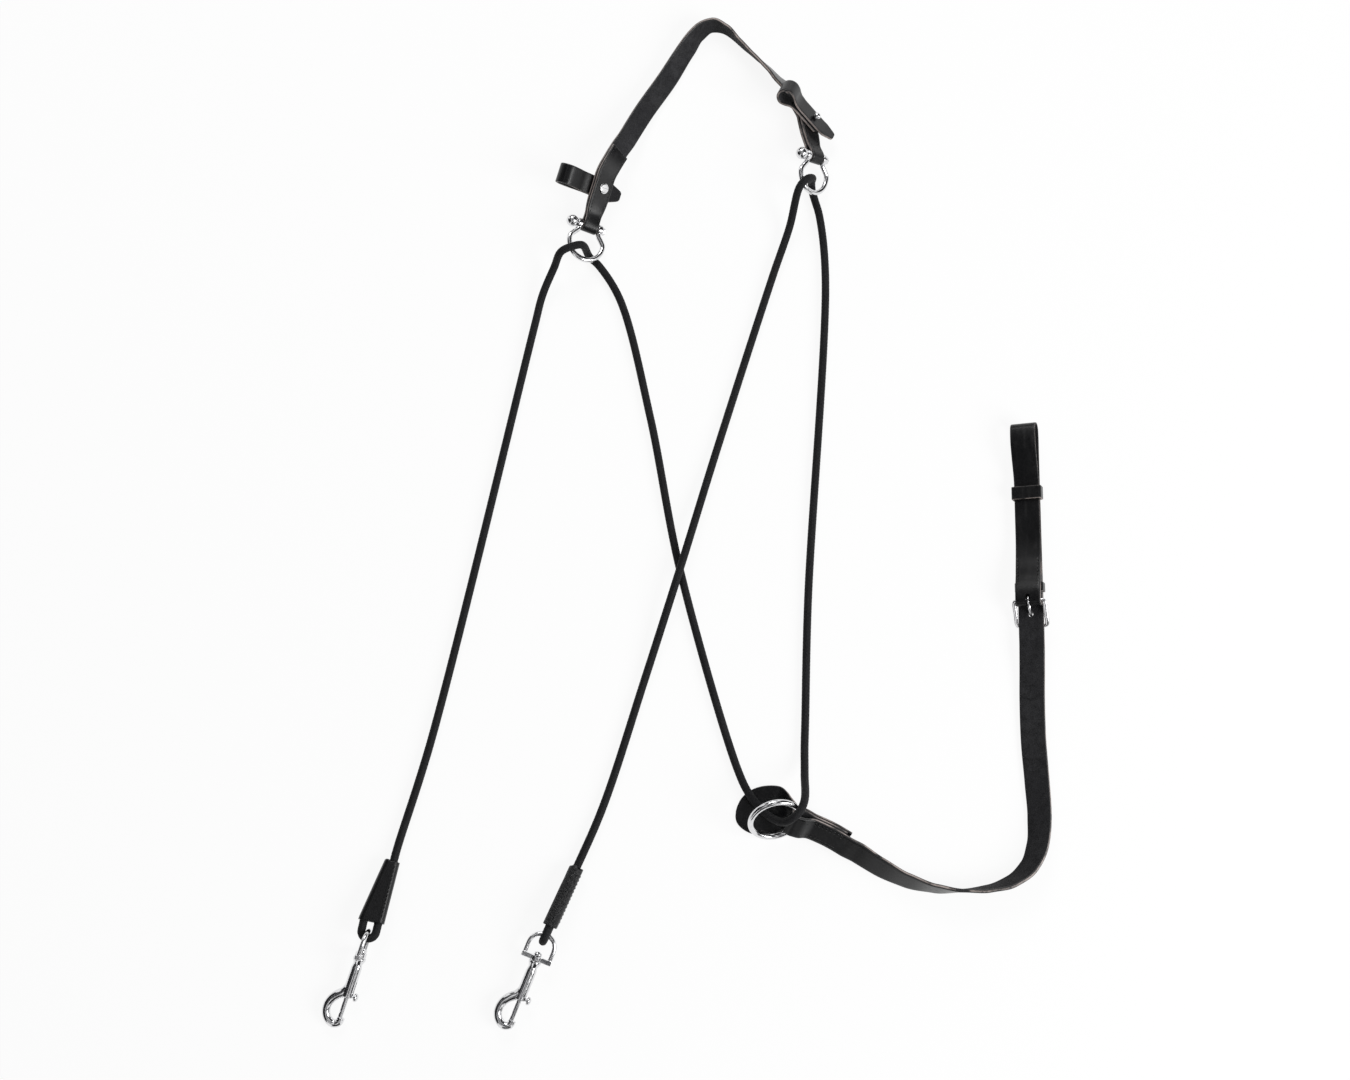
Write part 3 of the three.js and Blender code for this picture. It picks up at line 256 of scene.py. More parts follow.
def shell(rows, ring=False):
    """Points and outward faces of a closed body through rows of section points.

    A ring joins its last row to its first; any other body has a cap at each end.
    """
    n, m = rows.shape[:2]
    i = np.arange(n if ring else n - 1)[:, None]
    k = np.arange(m)[None]
    i2, k2 = (i + 1) % n, (k + 1) % m
    quads = np.stack(np.broadcast_arrays(i * m + k, i * m + k2, i2 * m + k2, i2 * m + k), -1).reshape(-1, 4)
    caps = [] if ring else [list(range(m))[::-1], list(range((n - 1) * m, n * m))]
    points = rows.reshape(-1, 3)

    def volume(p, q, r):
        return np.einsum("ij,ij->i", p, np.cross(q, r)).sum()

    a, b, c, d = (points[quads[:, j]] for j in range(4))
    whole = volume(a, b, c) + volume(a, c, d)
    for cap in caps:
        p = points[cap]
        whole += volume(p[:1].repeat(m - 2, 0), p[1:-1], p[2:])
    return points, quads, caps, whole < 0


def piece_of(mesh, body, stands_for, materials, crisp=None):
    """A piece of the martingale: its finish, the body it rides on and the node it stands for."""
    mesh.polygons.foreach_set("use_smooth", np.ones(len(mesh.polygons), bool))
    if crisp:
        mesh.set_sharp_from_angle(angle=math.radians(crisp))
    for material in materials[len(mesh.materials):]:
        mesh.materials.append(material)
    piece = bpy.data.objects.new(mesh.name, mesh)
    scene.collection.objects.link(piece)
    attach(piece, body)
    if stands_for:
        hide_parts(stands_for)
    return piece


def along_corners(along, sides):
    """How far along a body the four corners of each of its faces are."""
    return np.stack([along[:-1], along[:-1], along[1:], along[1:]], -1)[:, None].repeat(sides, 1)


def skin(name, rows, around=None, kinds=None, ring=False, strands=None):
    """A mesh over rows of section points, in millimetres, with its lay as a UV map.

    Kinds says which of its materials each face round a section gets.
    """
    rows = laid(rows)
    n, m = rows.shape[:2]
    points, quads, caps, inside_out = shell(rows, ring)
    along = distances(np.vstack([rows.mean(1), rows.mean(1)[:1]]) if ring else rows.mean(1))
    if around is None:
        turn = distances(np.vstack([rows[0], rows[0][:1]]))
        around = np.stack([turn[:-1], turn[1:]], 1)
    spans = n if ring else n - 1
    maps = {"lay": (along_corners(along, m), around[None, :, [0, 1, 1, 0]].repeat(spans, 0))}
    if strands:
        maps["strand"] = strands
    flip = -1 if inside_out else 1
    mesh = bpy.data.meshes.new(name)
    mesh.from_pydata(points.tolist(), [], quads[:, ::flip].tolist() + [cap[::flip] for cap in caps])
    for label, parts in maps.items():
        flat = np.zeros((len(mesh.loops), 2), np.float32)
        for column, part in enumerate(parts):
            flat[:part.size, column] = part[..., ::flip].ravel()
        mesh.uv_layers.new(name=label).data.foreach_set("uv", flat.ravel())
    if kinds is not None:
        index = np.full(len(mesh.polygons), max(kinds), np.int32)
        index[:len(quads)] = np.broadcast_to(kinds, (spans, m)).ravel()
        mesh.polygons.foreach_set("material_index", index)
    mesh.update()
    return mesh


STRANDS = 8
PLAIT_LAY = 3.75
PLAIT_RELIEF = 0.32


def plaited(name, line, step=1.2, sides=32):
    """A cord whose surface is raised where its strands cross over each other."""
    line = evenly(line, step)
    along = distances(line)

    def strands(distance, around, corner_distance, corner_around):
        """The strand that is on top at a place: how far along and across it corners are."""
        right, left = (distance / PLAIT_LAY + sign * around * STRANDS for sign in (1, -1))
        on_top = (np.floor(right) + np.floor(left)) % 2 == 0
        right, left = (corner_distance / PLAIT_LAY + sign * corner_around * STRANDS for sign in (1, -1))
        return np.where(on_top, left, right), np.where(on_top, right, left)

    turn = np.arange(sides)[None] / sides
    _, across = strands(along[:, None], turn, along[:, None], turn)
    sunken = PLAIT_RELIEF * (1 - np.sin(np.pi * (across % 1)) ** 0.7)
    rows = wire_rows(line, CORD_DIAMETER / 2 - sunken, sides)
    middle = (along[:-1, None, None] + along[1:, None, None]) / 2, turn[..., None] + 0.5 / sides
    corners = along_corners(along, sides), turn[..., None] + np.array((0, 1, 1, 0)) / sides
    return skin(name, rows, strands=strands(*middle, *corners)), line


def new_finish(name, **sockets):
    """A material with its Principled shader, whose own sockets hold the plain values."""
    material = bpy.data.materials.new(name)
    material.use_nodes = True
    shader = material.node_tree.nodes["Principled BSDF"]
    for key, value in sockets.items():
        shader.inputs[key.replace("_", " ")].default_value = value
    return material, material.node_tree, shader


def new_group(name, inputs, *outputs):
    """An empty shader group with named inputs, each with its usual value, and outputs."""
    group = bpy.data.node_groups.new(name, "ShaderNodeTree")
    for label, value in inputs.items():
        kind = "NodeSocketVector" if value is None else "NodeSocketFloat"
        socket = group.interface.new_socket(label, in_out="INPUT", socket_type=kind)
        if value is not None:
            socket.default_value = value
    for label in outputs:
        group.interface.new_socket(label, in_out="OUTPUT", socket_type="NodeSocketFloat")
    return group, add_node(group, "NodeGroupInput").outputs, add_node(group, "NodeGroupOutput")


def use_group(tree, group, **values):
    return add_node(tree, "Group", {"node_tree": group}, **values).outputs


def feed(tree, node, **sources):
    """Values that change over the surface, led to a shader or out of a group."""
    for key, value in sources.items():
        tree.links.new(value, node.inputs[key.replace("_", " ")])


def blend_colours(tree, share, first, second):
    return add_node(tree, "Mix", {"data_type": "RGBA"}, i0=share, i6=first, i7=second).outputs[2]


def grey(tone, blue):
    return tone, tone, blue, 1


def spread(tree, value, low, high, to_low=0.0, to_high=1.0):
    """A value's span from low to high stretched to another span."""
    return add_node(tree, "MapRange", i0=value, i1=low, i2=high, i3=to_low, i4=to_high).outputs[0]


def noise(tree, place, scale, detail, **more):
    return add_node(tree, "TexNoise", Vector=place, Scale=scale, Detail=detail, **more).outputs[0]


def own_place(tree):
    return add_node(tree, "TexCoord").outputs["Object"]


def lay_of(tree, label="lay"):
    """How far along and how far across a piece a point is, in metres."""
    uv = add_node(tree, "UVMap", {"uv_map": label})
    return add_node(tree, "SeparateXYZ", i0=uv.outputs[0]).outputs[:2]


def rough_bump(tree, shader, height, distance, strength=1.0):
    bump = add_node(tree, "Bump", Height=height, Distance=distance, Strength=strength)
    feed(tree, shader, Normal=bump.outputs[0])


# Lint and chalky dust that settle on dark yarn and leather.
dust, dust_in, dust_out = new_group("settled_dust", {"Place": None, "Amount": 0.2, "Fineness": 900.0}, "Mask")
dust_fine = spread(dust, noise(dust, dust_in["Place"], dust_in["Fineness"], 3.0), 0.52, 0.74)
dust_wide = spread(dust, noise(dust, dust_in["Place"], 34.0, 2.0), 0.35, 0.7)
dust_both = calculate(dust, "MULTIPLY", dust_fine, dust_wide)
feed(dust, dust_out, Mask=calculate(dust, "MULTIPLY", dust_both, dust_in["Amount"]))

yarn, tree, shader = new_finish("black_yarn", Roughness=0.6, Specular_IOR_Level=0.17, Sheen_Weight=0.03,
                                Sheen_Roughness=0.4)
place = own_place(tree)
wave = calculate(tree, "SINE", calculate(tree, "MULTIPLY", lay_of(tree, "strand")[1], 5 * math.pi))
thread_relief_and_groove_shade = calculate(tree, "ABSOLUTE", wave)
fuzz = calculate(tree, "MULTIPLY", noise(tree, place, 650.0, 4.0), 0.8)
rough_bump(tree, shader, calculate(tree, "ADD", thread_relief_and_groove_shade, fuzz), 0.00012, 0.8)
lint = use_group(tree, dust, Place=place, Amount=0.22, Fineness=1500.0)["Mask"]
# The threads' relief also sets the yarn's tone, darker in the grooves between threads: painted shade.
tone = blend_colours(tree, thread_relief_and_groove_shade, grey(0.002, 0.0025), grey(0.012, 0.0135))
feed(tree, shader, Base_Color=blend_colours(tree, lint, tone, grey(0.12, 0.125)))

cord_mesh, cord_line = plaited("plaited_cord", through(CORD_ROUTE, 40))
cord = piece_of(cord_mesh, "harness", "cord", [yarn])

# ---- Cord ends and sleeves ------------------------------------------------------------
# Each end of the cord is turned round a snap's eye and laid back beside itself, and both
# strands are sewn into a tapering sleeve of thin leather. The left sleeve is smooth; the
# right one is worn to a rough nap. The seam runs down one side.


class Place:
    """A frame in the drawing, with an origin and the directions of its x and y."""

    def __init__(self, origin, x, y):
        self.origin = np.array(origin, float)
        self.x = unit(x)
        self.y = unit(y - self.x * (np.asarray(y, float) @ self.x))
        self.z = np.cross(self.x, self.y)

    def __call__(self, points):
        return np.asarray(points, float) @ np.stack([self.x, self.y, self.z]) + self.origin

    def turned_about_x(self, degrees):
        a = math.radians(degrees)
        return Place(self.origin, self.x, self.y * math.cos(a) + self.z * math.sin(a))

    def turned_about_y(self, degrees):
        a = math.radians(degrees)
        return Place(self.origin, self.x * math.cos(a) - self.z * math.sin(a), self.y)


# The pores and fine creases of leather.
grain, grain_in, grain_out = new_group("leather_grain", {"Place": None, "Cells": 900.0}, "Height", "Mottle")
pores = add_node(grain, "TexVoronoi", {"feature": "SMOOTH_F1"}, Vector=grain_in["Place"],
                 Scale=grain_in["Cells"], Smoothness=0.6).outputs["Distance"]
creases = noise(grain, grain_in["Place"], 420.0, 5.0)
feed(grain, grain_out, Height=calculate(grain, "ADD", pores, creases),
     Mottle=spread(grain, noise(grain, grain_in["Place"], 42.0, 4.0), 0.3, 0.7))

# Rubbing: fine scratches lengthwise and a bare look where the surface was handled.
rubbed, rubbed_in, rubbed_out = new_group("rubbed", {"Place": None, "Amount": 0.3, "Scratches": 260.0},
                                          "Mask")
lengthwise = add_node(rubbed, "Mapping", Vector=rubbed_in["Place"], Scale=(1.0, 0.22, 1.0)).outputs[0]
scratches = spread(rubbed, noise(rubbed, lengthwise, rubbed_in["Scratches"], 6.0), 0.5, 0.72)
handled = spread(rubbed, noise(rubbed, rubbed_in["Place"], 26.0, 2.0), 0.4, 0.68)
rubbed_both = calculate(rubbed, "MULTIPLY", scratches, handled)
feed(rubbed, rubbed_out, Mask=calculate(rubbed, "MULTIPLY", rubbed_both, rubbed_in["Amount"]))


def leather_finish(name, dark, light, bare, cells, bump, rough, shine, rub, dusty):
    """Dyed leather: its grain in relief, rubbed places paler and duller, some dust."""
    material, tree, shader = new_finish(name, Coat_Weight=shine, Coat_Roughness=0.3, Specular_IOR_Level=0.3)
    place = own_place(tree)
    face = use_group(tree, grain, Place=place, Cells=cells)
    wear = use_group(tree, rubbed, Place=place, Amount=rub)["Mask"]
    specks = use_group(tree, dust, Place=place, Amount=dusty)["Mask"]
    tone = blend_colours(tree, wear, blend_colours(tree, face["Mottle"], dark, light), bare)
    patchy = spread(tree, face["Mottle"], 0, 1, rough - 0.035, rough + 0.035)
    feed(tree, shader, Base_Color=blend_colours(tree, specks, tone, grey(0.2, 0.205)),
         Roughness=calculate(tree, "ADD", patchy, calculate(tree, "MULTIPLY", wear, 0.3)))
    rough_bump(tree, shader, face["Height"], bump)
    return material


smooth_leather = leather_finish(
    "black_bridle_leather", dark=grey(0.0025, 0.003), light=grey(0.005, 0.0058), bare=(0.03, 0.029, 0.03, 1),
    cells=1500.0, bump=0.00004, rough=0.31, shine=0.08, rub=0.3, dusty=0.07)
napped_leather = leather_finish(
    "black_napped_leather", dark=grey(0.0025, 0.003), light=grey(0.009, 0.01), bare=grey(0.06, 0.063),
    cells=620.0, bump=0.0011, rough=0.44, shine=0.0, rub=0.8, dusty=0.35)

# The strap's inner face: shaved fibres, dyed grey-black, with a fine nap.
rough_side, tree, shader = new_finish("grey_flesh_side", Specular_IOR_Level=0.2, Sheen_Weight=0.03,
                                      Sheen_Roughness=0.5)
place = own_place(tree)
nap = noise(tree, place, 760.0, 6.0, Roughness=0.7)
fibre = noise(tree, place, 150.0, 5.0, Distortion=0.8)
wide = noise(tree, place, 30.0, 3.0)
height = calculate(tree, "ADD", nap, calculate(tree, "MULTIPLY", fibre, 0.7))
# The tone follows the nap's relief, darker where it is low: painted shade in its hollows.
tone = blend_colours(tree, spread(tree, height, 0.6, 1.1), grey(0.008, 0.009), grey(0.038, 0.041))
feed(tree, shader, Roughness=spread(tree, wide, 0.3, 0.7, 0.74, 0.9),
     Base_Color=blend_colours(tree, spread(tree, wide, 0.35, 0.7, 0, 0.5), tone, grey(0.012, 0.0135)))
rough_bump(tree, shader, height, 0.0004)

# The cut edge: dyed black at both faces, its core rubbed to a pale brown in places, a pale that is also a
# painted highlight along the edge.
edge, tree, shader = new_finish("cut_edge")
from_core = calculate(tree, "ABSOLUTE", lay_of(tree)[1])
layers = noise(tree, own_place(tree), 900.0, 3.0)
patches = spread(tree, noise(tree, own_place(tree), 48.0, 5.0, Roughness=0.65), 0.38, 0.54)
bare = calculate(tree, "MULTIPLY", spread(tree, from_core, 0.0011, 0.0004), patches)
# The bared core is pale enough to be a painted highlight along the edge too, and darker where its layers'
# relief is low: painted shade.
pale_core_and_painted_highlight = blend_colours(tree, layers, (0.2, 0.16, 0.145, 1), (0.52, 0.45, 0.42, 1))
feed(tree, shader, Base_Color=blend_colours(tree, bare, grey(0.012, 0.013), pale_core_and_painted_highlight),
     Roughness=spread(tree, bare, 0, 1, 0.38, 0.62))
rough_bump(tree, shader, layers, 0.0002)

# The sewing thread: waxed, its twist showing in relief, with painted shade in the twist's grooves.
sewing_thread, tree, shader = new_finish("waxed_thread", Coat_Weight=0.15, Roughness=0.5)
along, across = lay_of(tree)
slant = calculate(tree, "MULTIPLY", across, 2500.0)
twist_relief_and_groove_shade = calculate(tree, "SINE", calculate(tree, "MULTIPLY_ADD", along, 9000.0, slant))
# The thread's tone follows the twist's relief, darker where it is low: painted shade in its grooves.
tone = blend_colours(tree, spread(tree, twist_relief_and_groove_shade, -1, 1), grey(0.003, 0.0035), grey(0.014, 0.015))
feed(tree, shader, Base_Color=tone)
rough_bump(tree, shader, twist_relief_and_groove_shade, 0.0001)

STITCH_LENGTH, STITCH_GAP, STITCH_THREAD, STITCH_SLANT, STITCH_SIDES = 3.0, 0.9, 0.8, 0.28, 8
STITCH_RISE = np.array((-0.55, -0.05, 0.16, 0.2, 0.16, -0.05, -0.55))
STITCH_STOUT = np.array((0.55, 0.9, 1, 1, 1, 0.9, 0.55)) * STITCH_THREAD / 2


def stitches(name, seams):
    """Saddle stitches along seams, each a pair of lines: on the surface, and its normals."""
    part = np.linspace(0, 1, len(STITCH_RISE))
    turn = np.arange(STITCH_SIDES) / STITCH_SIDES * 2 * np.pi
    points, faces, lay = [], [], []
    for line, normals in seams:
        along = distances(line)
        count = int(along[-1] // (STITCH_LENGTH + STITCH_GAP))
        first = (along[-1] - count * (STITCH_LENGTH + STITCH_GAP) + STITCH_GAP) / 2
        for j in range(count):
            at = first + j * (STITCH_LENGTH + STITCH_GAP) + part * STITCH_LENGTH
            middle, out = picked(at, along, line), unit(picked(at, along, unit(normals)))
            side = unit(np.cross(unit(np.gradient(middle, axis=0)), out))
            middle = middle + out * STITCH_RISE[:, None] + side * (STITCH_SLANT * (2 * part - 1))[:, None]
            rows = middle[:, None] + STITCH_STOUT[:, None, None] * (
                np.cos(turn)[None, :, None] * side[:, None] + np.sin(turn)[None, :, None] * out[:, None])
            stitch, quads, caps, inside_out = shell(rows)
            start = len(points) * len(stitch)
            points.append(stitch)
            faces += [[start + v for v in face[::-1 if inside_out else 1]] for face in quads.tolist() + caps]
            lay.append(np.stack([np.repeat(at, STITCH_SIDES), np.tile(turn, len(part))], 1))
    mesh = bpy.data.meshes.new(name)
    mesh.from_pydata(laid(np.concatenate(points)).tolist(), [], faces)
    corner = np.zeros(len(mesh.loops), np.int32)
    mesh.loops.foreach_get("vertex_index", corner)
    lay = (np.concatenate(lay) / 1000)[corner]
    mesh.uv_layers.new(name="lay").data.foreach_set("uv", lay.astype(np.float32).ravel())
    piece_of(mesh, "harness", None, [sewing_thread])


REST_GAP, RUN_GAP = 0.3, 0.4
SLEEVE_LENGTH, SLEEVE_WALL, SLEEVE_LINING, SLEEVE_SIDES = 60, 1.5, 0.06, 56
SLEEVE_INSIDE = CORD_DIAMETER / 2 + 0.25
STRAND_OFFSET = 7
FOLD_REACH = -8.8
EYE_HEIGHT = 24


def sleeve_outline(y, wall):
    """The sleeve's slot-shaped section: one strand wide at the top, two lower down."""
    right = STRAND_OFFSET + SLEEVE_INSIDE
    top_left = STRAND_OFFSET - SLEEVE_INSIDE - 3.4
    left = np.interp(y, (0, 3, SLEEVE_LENGTH), (-right, -right + 0.3, top_left))
    r = SLEEVE_INSIDE + wall
    straight = right - left + 2 * wall - 2 * r
    part = np.arange(SLEEVE_SIDES) / SLEEVE_SIDES * 2
    run = part % 1 * (straight + math.pi * r)
    a = np.maximum(run - straight, 0) / r - math.pi / 2
    half = np.stack([np.minimum(run, straight) - straight / 2 + r * np.cos(a), r * np.sin(a)], 1)
    return half * np.where(part < 1, 1, -1)[:, None] + ((left + right) / 2, 0)


def sleeve_rows(ragged, hollow, stout, seed):
    """The outside from the lower edge to the upper one, then the inside back down."""
    wave = np.random.default_rng(seed).normal(size=(6, 2)) * ragged
    turn = np.arange(SLEEVE_SIDES) / SLEEVE_SIDES * 2 * np.pi
    hem = sum(a * np.cos((k + 1) * turn) + b * np.sin((k + 1) * turn) for k, (a, b) in enumerate(wave))
    heights = np.linspace(0, SLEEVE_LENGTH, 61)
    rows = []
    for wall, ys in ((SLEEVE_WALL, heights), (SLEEVE_LINING, heights[::-1])):
        for y in ys:
            outline = sleeve_outline(y, wall)
            if wall == SLEEVE_WALL:
                rounding = 1 - 0.012 * (math.exp(-y / 0.8) + math.exp(-(SLEEVE_LENGTH - y) / 0.8))
                pinch = 1 - hollow * math.exp(-((y - 47) / 7) ** 2)
                outline[:, 1] *= pinch * rounding * stout
            rows.append(np.column_stack([outline[:, 0], y + hem * (y / SLEEVE_LENGTH) ** 3, outline[:, 1]]))
    return np.array(rows)


def arc(x, y, radius, start, end, count):
    """Points round a centre, from one angle in degrees to another."""
    return [(x + radius * math.cos(a), y + radius * math.sin(a))
            for a in np.radians(np.linspace(start, end, count))]


# The end's own strand beside the main one, round the eye's fold and up again.
beside = STRAND_OFFSET - CORD_DIAMETER - REST_GAP
fold_centre = FOLD_REACH - 0.12
turned_back_end = through([(x, y, 0) for x, y in (
    (beside, 27), (beside * 0.6 - STRAND_OFFSET * 0.4, 17), (-STRAND_OFFSET, 4),
    (-STRAND_OFFSET, fold_centre + 2), *arc(0, fold_centre, STRAND_OFFSET, 180, 360, 9),
    *[(STRAND_OFFSET, y) for y in (fold_centre + 2, 12, 30, 46)])], 12)

snap_places = {}
for side, bottom, up, across, snap_down, hook_across, leather, slot, ragged, hollow, stout, seed in (
    ("left", (-310, -413, 17.2), (12, 58, -9.4), (58, -12, 0), (-0.317, -0.948, -0.14), (0.948, -0.317, 0),
     smooth_leather, "leather", 0.12, 0.0, 1, 3),
    ("right", (-139.5, -417, 14.8), (27, 60, -1.2), (0, 0, -1), (-0.375, -0.925, -0.07), (0.925, -0.375, 0),
     napped_leather, "suede", 0.3, 0.02, 1.2, 8),
):
    up, across = unit(up), np.array(across, float)
    place = Place(bottom, across - up * (across @ up), up)
    end_mesh, _ = plaited(side + "_plaited_end", place(turned_back_end))
    piece_of(end_mesh, "harness", side + "_cord_end", [yarn])
    sleeve_mesh = skin(side + "_sewn_sleeve", place(sleeve_rows(ragged, hollow, stout, seed)), ring=True)
    piece_of(sleeve_mesh, "harness", side + "_cord_sleeve", [leather])
    seam_x = STRAND_OFFSET + SLEEVE_INSIDE - 1.6
    seam_z = (SLEEVE_INSIDE + SLEEVE_WALL) * stout - 0.25
    seams = []
    for face in (-1, 1):
        line = place([(seam_x, y, face * seam_z) for y in np.linspace(3, SLEEVE_LENGTH - 3, 30)])
        seams.append((line, np.tile(place.x * 0.35 + place.z * face, (30, 1))))
    stitches(side + "_sleeve_seam", seams)
    down = unit(snap_down)
    snap_places[side] = Place(place((0, FOLD_REACH, 0)) + down * EYE_HEIGHT, hook_across, -down)

# ---- Poll strap -----------------------------------------------------------------------
# One strap of bridle leather, 22 mm wide, that lies over the horse's head. Both ends are
# narrowed, folded back round a shackle pin and sewn down. It stands half on edge here, so
# that its dyed flesh side shows.

POLL_WIDTH, POLL_END_WIDTH, POLL_THICKNESS, POLL_TURNBACK = 22, 16, 3.6, 84
PIN_DIAMETER = 5
SEAM_INSET = 2.6
# Along the strap: a point of its middle line, and how far its width leans in degrees.
POLL_LINE = (
    (-107.5, 282.5, 15.8, 26), (-103.2, 295.5, 18.6, 35), (-99, 308.6, 21.4, 44), (-94.7, 321.6, 24.2, 44),
    (-90.5, 334.7, 27, 44), (-83, 349, 27.4, 43), (-72.5, 369, 22.5, 40), (-52, 409, 11.2, 37),
    (-28, 446, 8.4, 35), (-8, 479, 9.2, 46), (5, 497, 10.6, 62), (19, 505, 11.2, 78), (34, 500, 11.3, 92),
    (49, 485, 11.3, 101), (63, 471, 11.2, 107), (79, 455, 11.2, 114), (95, 435, 11.3, 127),
    (104.5, 424, 11.6, 133), (110.5, 413, 12.6, 136), (114.9, 403.2, 14, 136), (116.5, 394.4, 15.4, 136),
    (117.9, 386.7, 16.7, 136), (119.5, 378, 18.2, 136), (121.1, 369.3, 19.6, 137), (122.5, 361.6, 20.9, 138),
    (123.7, 354.8, 22, 138),
)


def smoothstep(x, low, high):
    s = np.clip((np.asarray(x, float) - low) / (high - low), 0, 1)
    return s * s * (3 - 2 * s)


class LeaningLine:
    """A strap's middle line, and how far its width leans: 0 flat, 90 standing on edge."""

    def __init__(self, rows):
        rows = np.array(rows, float)
        self.points = through(rows[:, :3], 30)
        part = np.linspace(0, len(rows) - 1, len(self.points))
        before = np.minimum(part.astype(int), len(rows) - 2)
        ease = smoothstep(part - before, 0, 1)
        self.lean = np.radians(rows[before, 3] * (1 - ease) + rows[before + 1, 3] * ease)
        self.along = distances(self.points)
        self.length = self.along[-1]
        self.travel = unit(np.gradient(self.points, axis=0))

    def at(self, distance):
        """Middle, width direction, direction of travel and face direction at distances."""
        middle = picked(distance, self.along, self.points)
        travel = unit(picked(distance, self.along, self.travel))
        lean = np.interp(distance, self.along, self.lean)[..., None]
        left = unit(np.cross((0, 0, 1), travel))
        across = left * np.cos(lean) + np.cross(travel, left) * np.sin(lean)
        return middle, across, travel, np.cross(travel, across)


def stations(middle, across, width):
    """A strap's stations: at each its middle, the direction of its width, and its width."""
    width = np.broadcast_to(np.reshape(width, (-1, 1)), (len(middle), 1))
    return np.hstack([middle, np.broadcast_to(across, middle.shape), width])


def layer_offset(distance, radius, closed, hold, turnback, draw_in=14):
    """How far a folded end's layer is from the middle line between its two layers.

    It keeps round the fold's radius for a hold, and is drawn in before the seams start.
    """
    near = radius + (closed - radius) * smoothstep(distance, hold, hold + draw_in)
    far = closed * (1 - smoothstep(distance, turnback + 4, turnback + 20))
    return np.where(distance < hold + draw_in, near, far)


def strap_layer(line, distance, offset, width):
    """Stations of a layer beside the line."""
    middle, across, _, face = line.at(distance)
    return stations(middle + face * offset[:, None], across, width)


def round_pin(end, radius, towards, start_side, width):
    """Stations round what the fold holds, from one face of the strap to the other."""
    middle, across, travel, face = end
    turn = np.linspace(0, np.pi, 14)[1:-1, None]
    at = middle + face * start_side * radius * np.cos(turn) + travel * towards * radius * np.sin(turn)
    return stations(at, across, width)


FACE_STEPS, CORNER_STEPS = 10, 4


def strap_section(thickness, softness):
    """A strap's section going round it, as shares of width and height and a corner radius.

    Also which material each of its faces gets, and their lay across the strap.
    """
    corner = [(-1, -softness * math.sin(a), thickness / 2 - softness * (1 - math.cos(a)))
              for a in np.linspace(0, np.pi / 2, CORNER_STEPS + 1)[1:]]
    half = np.array([*[(x, 0, thickness / 2) for x in np.linspace(1, -1, FACE_STEPS + 1)], *corner,
                     (-1, -softness, 0), *[(x, y, -z) for x, y, z in corner[::-1]]])
    rows = np.vstack([half, -half])
    ends = np.stack([rows, np.roll(rows, -1, axis=0)], 1)
    kinds = np.where((ends[..., 1] == 0).all(1), np.where(rows[:, 2] > 0, 0, 1), 2)
    return rows, kinds, np.where(kinds[:, None] == 2, ends[..., 2], ends[..., 0] * 10) / 1000


def strap_mesh(name, strap, thickness, softness=1.1, ring=False, pared=1.0):
    """A leather strap through stations, smooth face up: its face, back and edges apart.

    Pared is the share of its thickness left at each station.
    """
    section, kinds, lays = strap_section(thickness, softness)
    at, across, width = strap[:, :3], unit(strap[:, 3:6]), strap[:, 6:7]
    travel = np.roll(at, -1, 0) - np.roll(at, 1, 0) if ring else np.gradient(at, axis=0)
    face = unit(np.cross(unit(travel), across))
    x = section[None, :, 0] * (width / 2 - softness) + section[None, :, 1]
    z = np.broadcast_to(section[None, :, 2], x.shape) * np.reshape(pared, (-1, 1))
    rows = at[:, None] + across[:, None] * x[..., None] + face[:, None] * z[..., None]
    return skin(name, rows, lays, kinds, ring)


def edge_seams(layer, out, thickness, *insets):
    """Seams on a strap's face beside both its edges, with their normals."""
    at, across, width = layer[:, :3], unit(layer[:, 3:6]), layer[:, 6:7]
    return [(at + across * side * (width / 2 - inset) + out * thickness / 2, out)
            for side in (1, -1) for inset in insets]


poll_line = LeaningLine(POLL_LINE)
poll_radius = PIN_DIAMETER / 2 + REST_GAP + POLL_THICKNESS / 2
poll_closed = (POLL_THICKNESS + REST_GAP) / 2


def poll_layer(distance, sign):
    from_pin = np.minimum(distance, poll_line.length - distance)
    width = POLL_END_WIDTH + (POLL_WIDTH - POLL_END_WIDTH) * smoothstep(from_pin, 6, 30)
    offset = sign * layer_offset(from_pin, poll_radius, poll_closed, 1, POLL_TURNBACK)
    return strap_layer(poll_line, distance, offset, width)


poll_start, poll_end = poll_line.at(0.0), poll_line.at(poll_line.length)
back = np.linspace(0, POLL_TURNBACK, 60)
poll_strap = np.vstack([
    poll_layer(back[::-1], 1),
    round_pin(poll_start, poll_radius, -1, 1, POLL_END_WIDTH),
    poll_layer(np.linspace(0, poll_line.length, 330), -1),
    round_pin(poll_end, poll_radius, 1, -1, POLL_END_WIDTH),
    poll_layer(poll_line.length - back, 1),
])
poll_mesh = strap_mesh("poll_strap_leather", poll_strap, POLL_THICKNESS)
piece_of(poll_mesh, "harness", "poll_strap", [rough_side, smooth_leather, edge])
poll_seams = []
for span in (back[3:], poll_line.length - back[3:]):
    for face in (1, -1):
        out = poll_line.at(span)[3] * face
        poll_seams += edge_seams(poll_layer(span, face), out, POLL_THICKNESS, SEAM_INSET)
stitches("poll_strap_stitching", poll_seams)

# ---- Cheek tabs, studs and screws -----------------------------------------------------
# Beside each end of the poll strap a short leather tab is folded to a loop, for the
# bridle's cheekpiece, and both its layers are pushed on one plated ball stud, which a
# slotted flat-headed screw holds from the strap's other face.

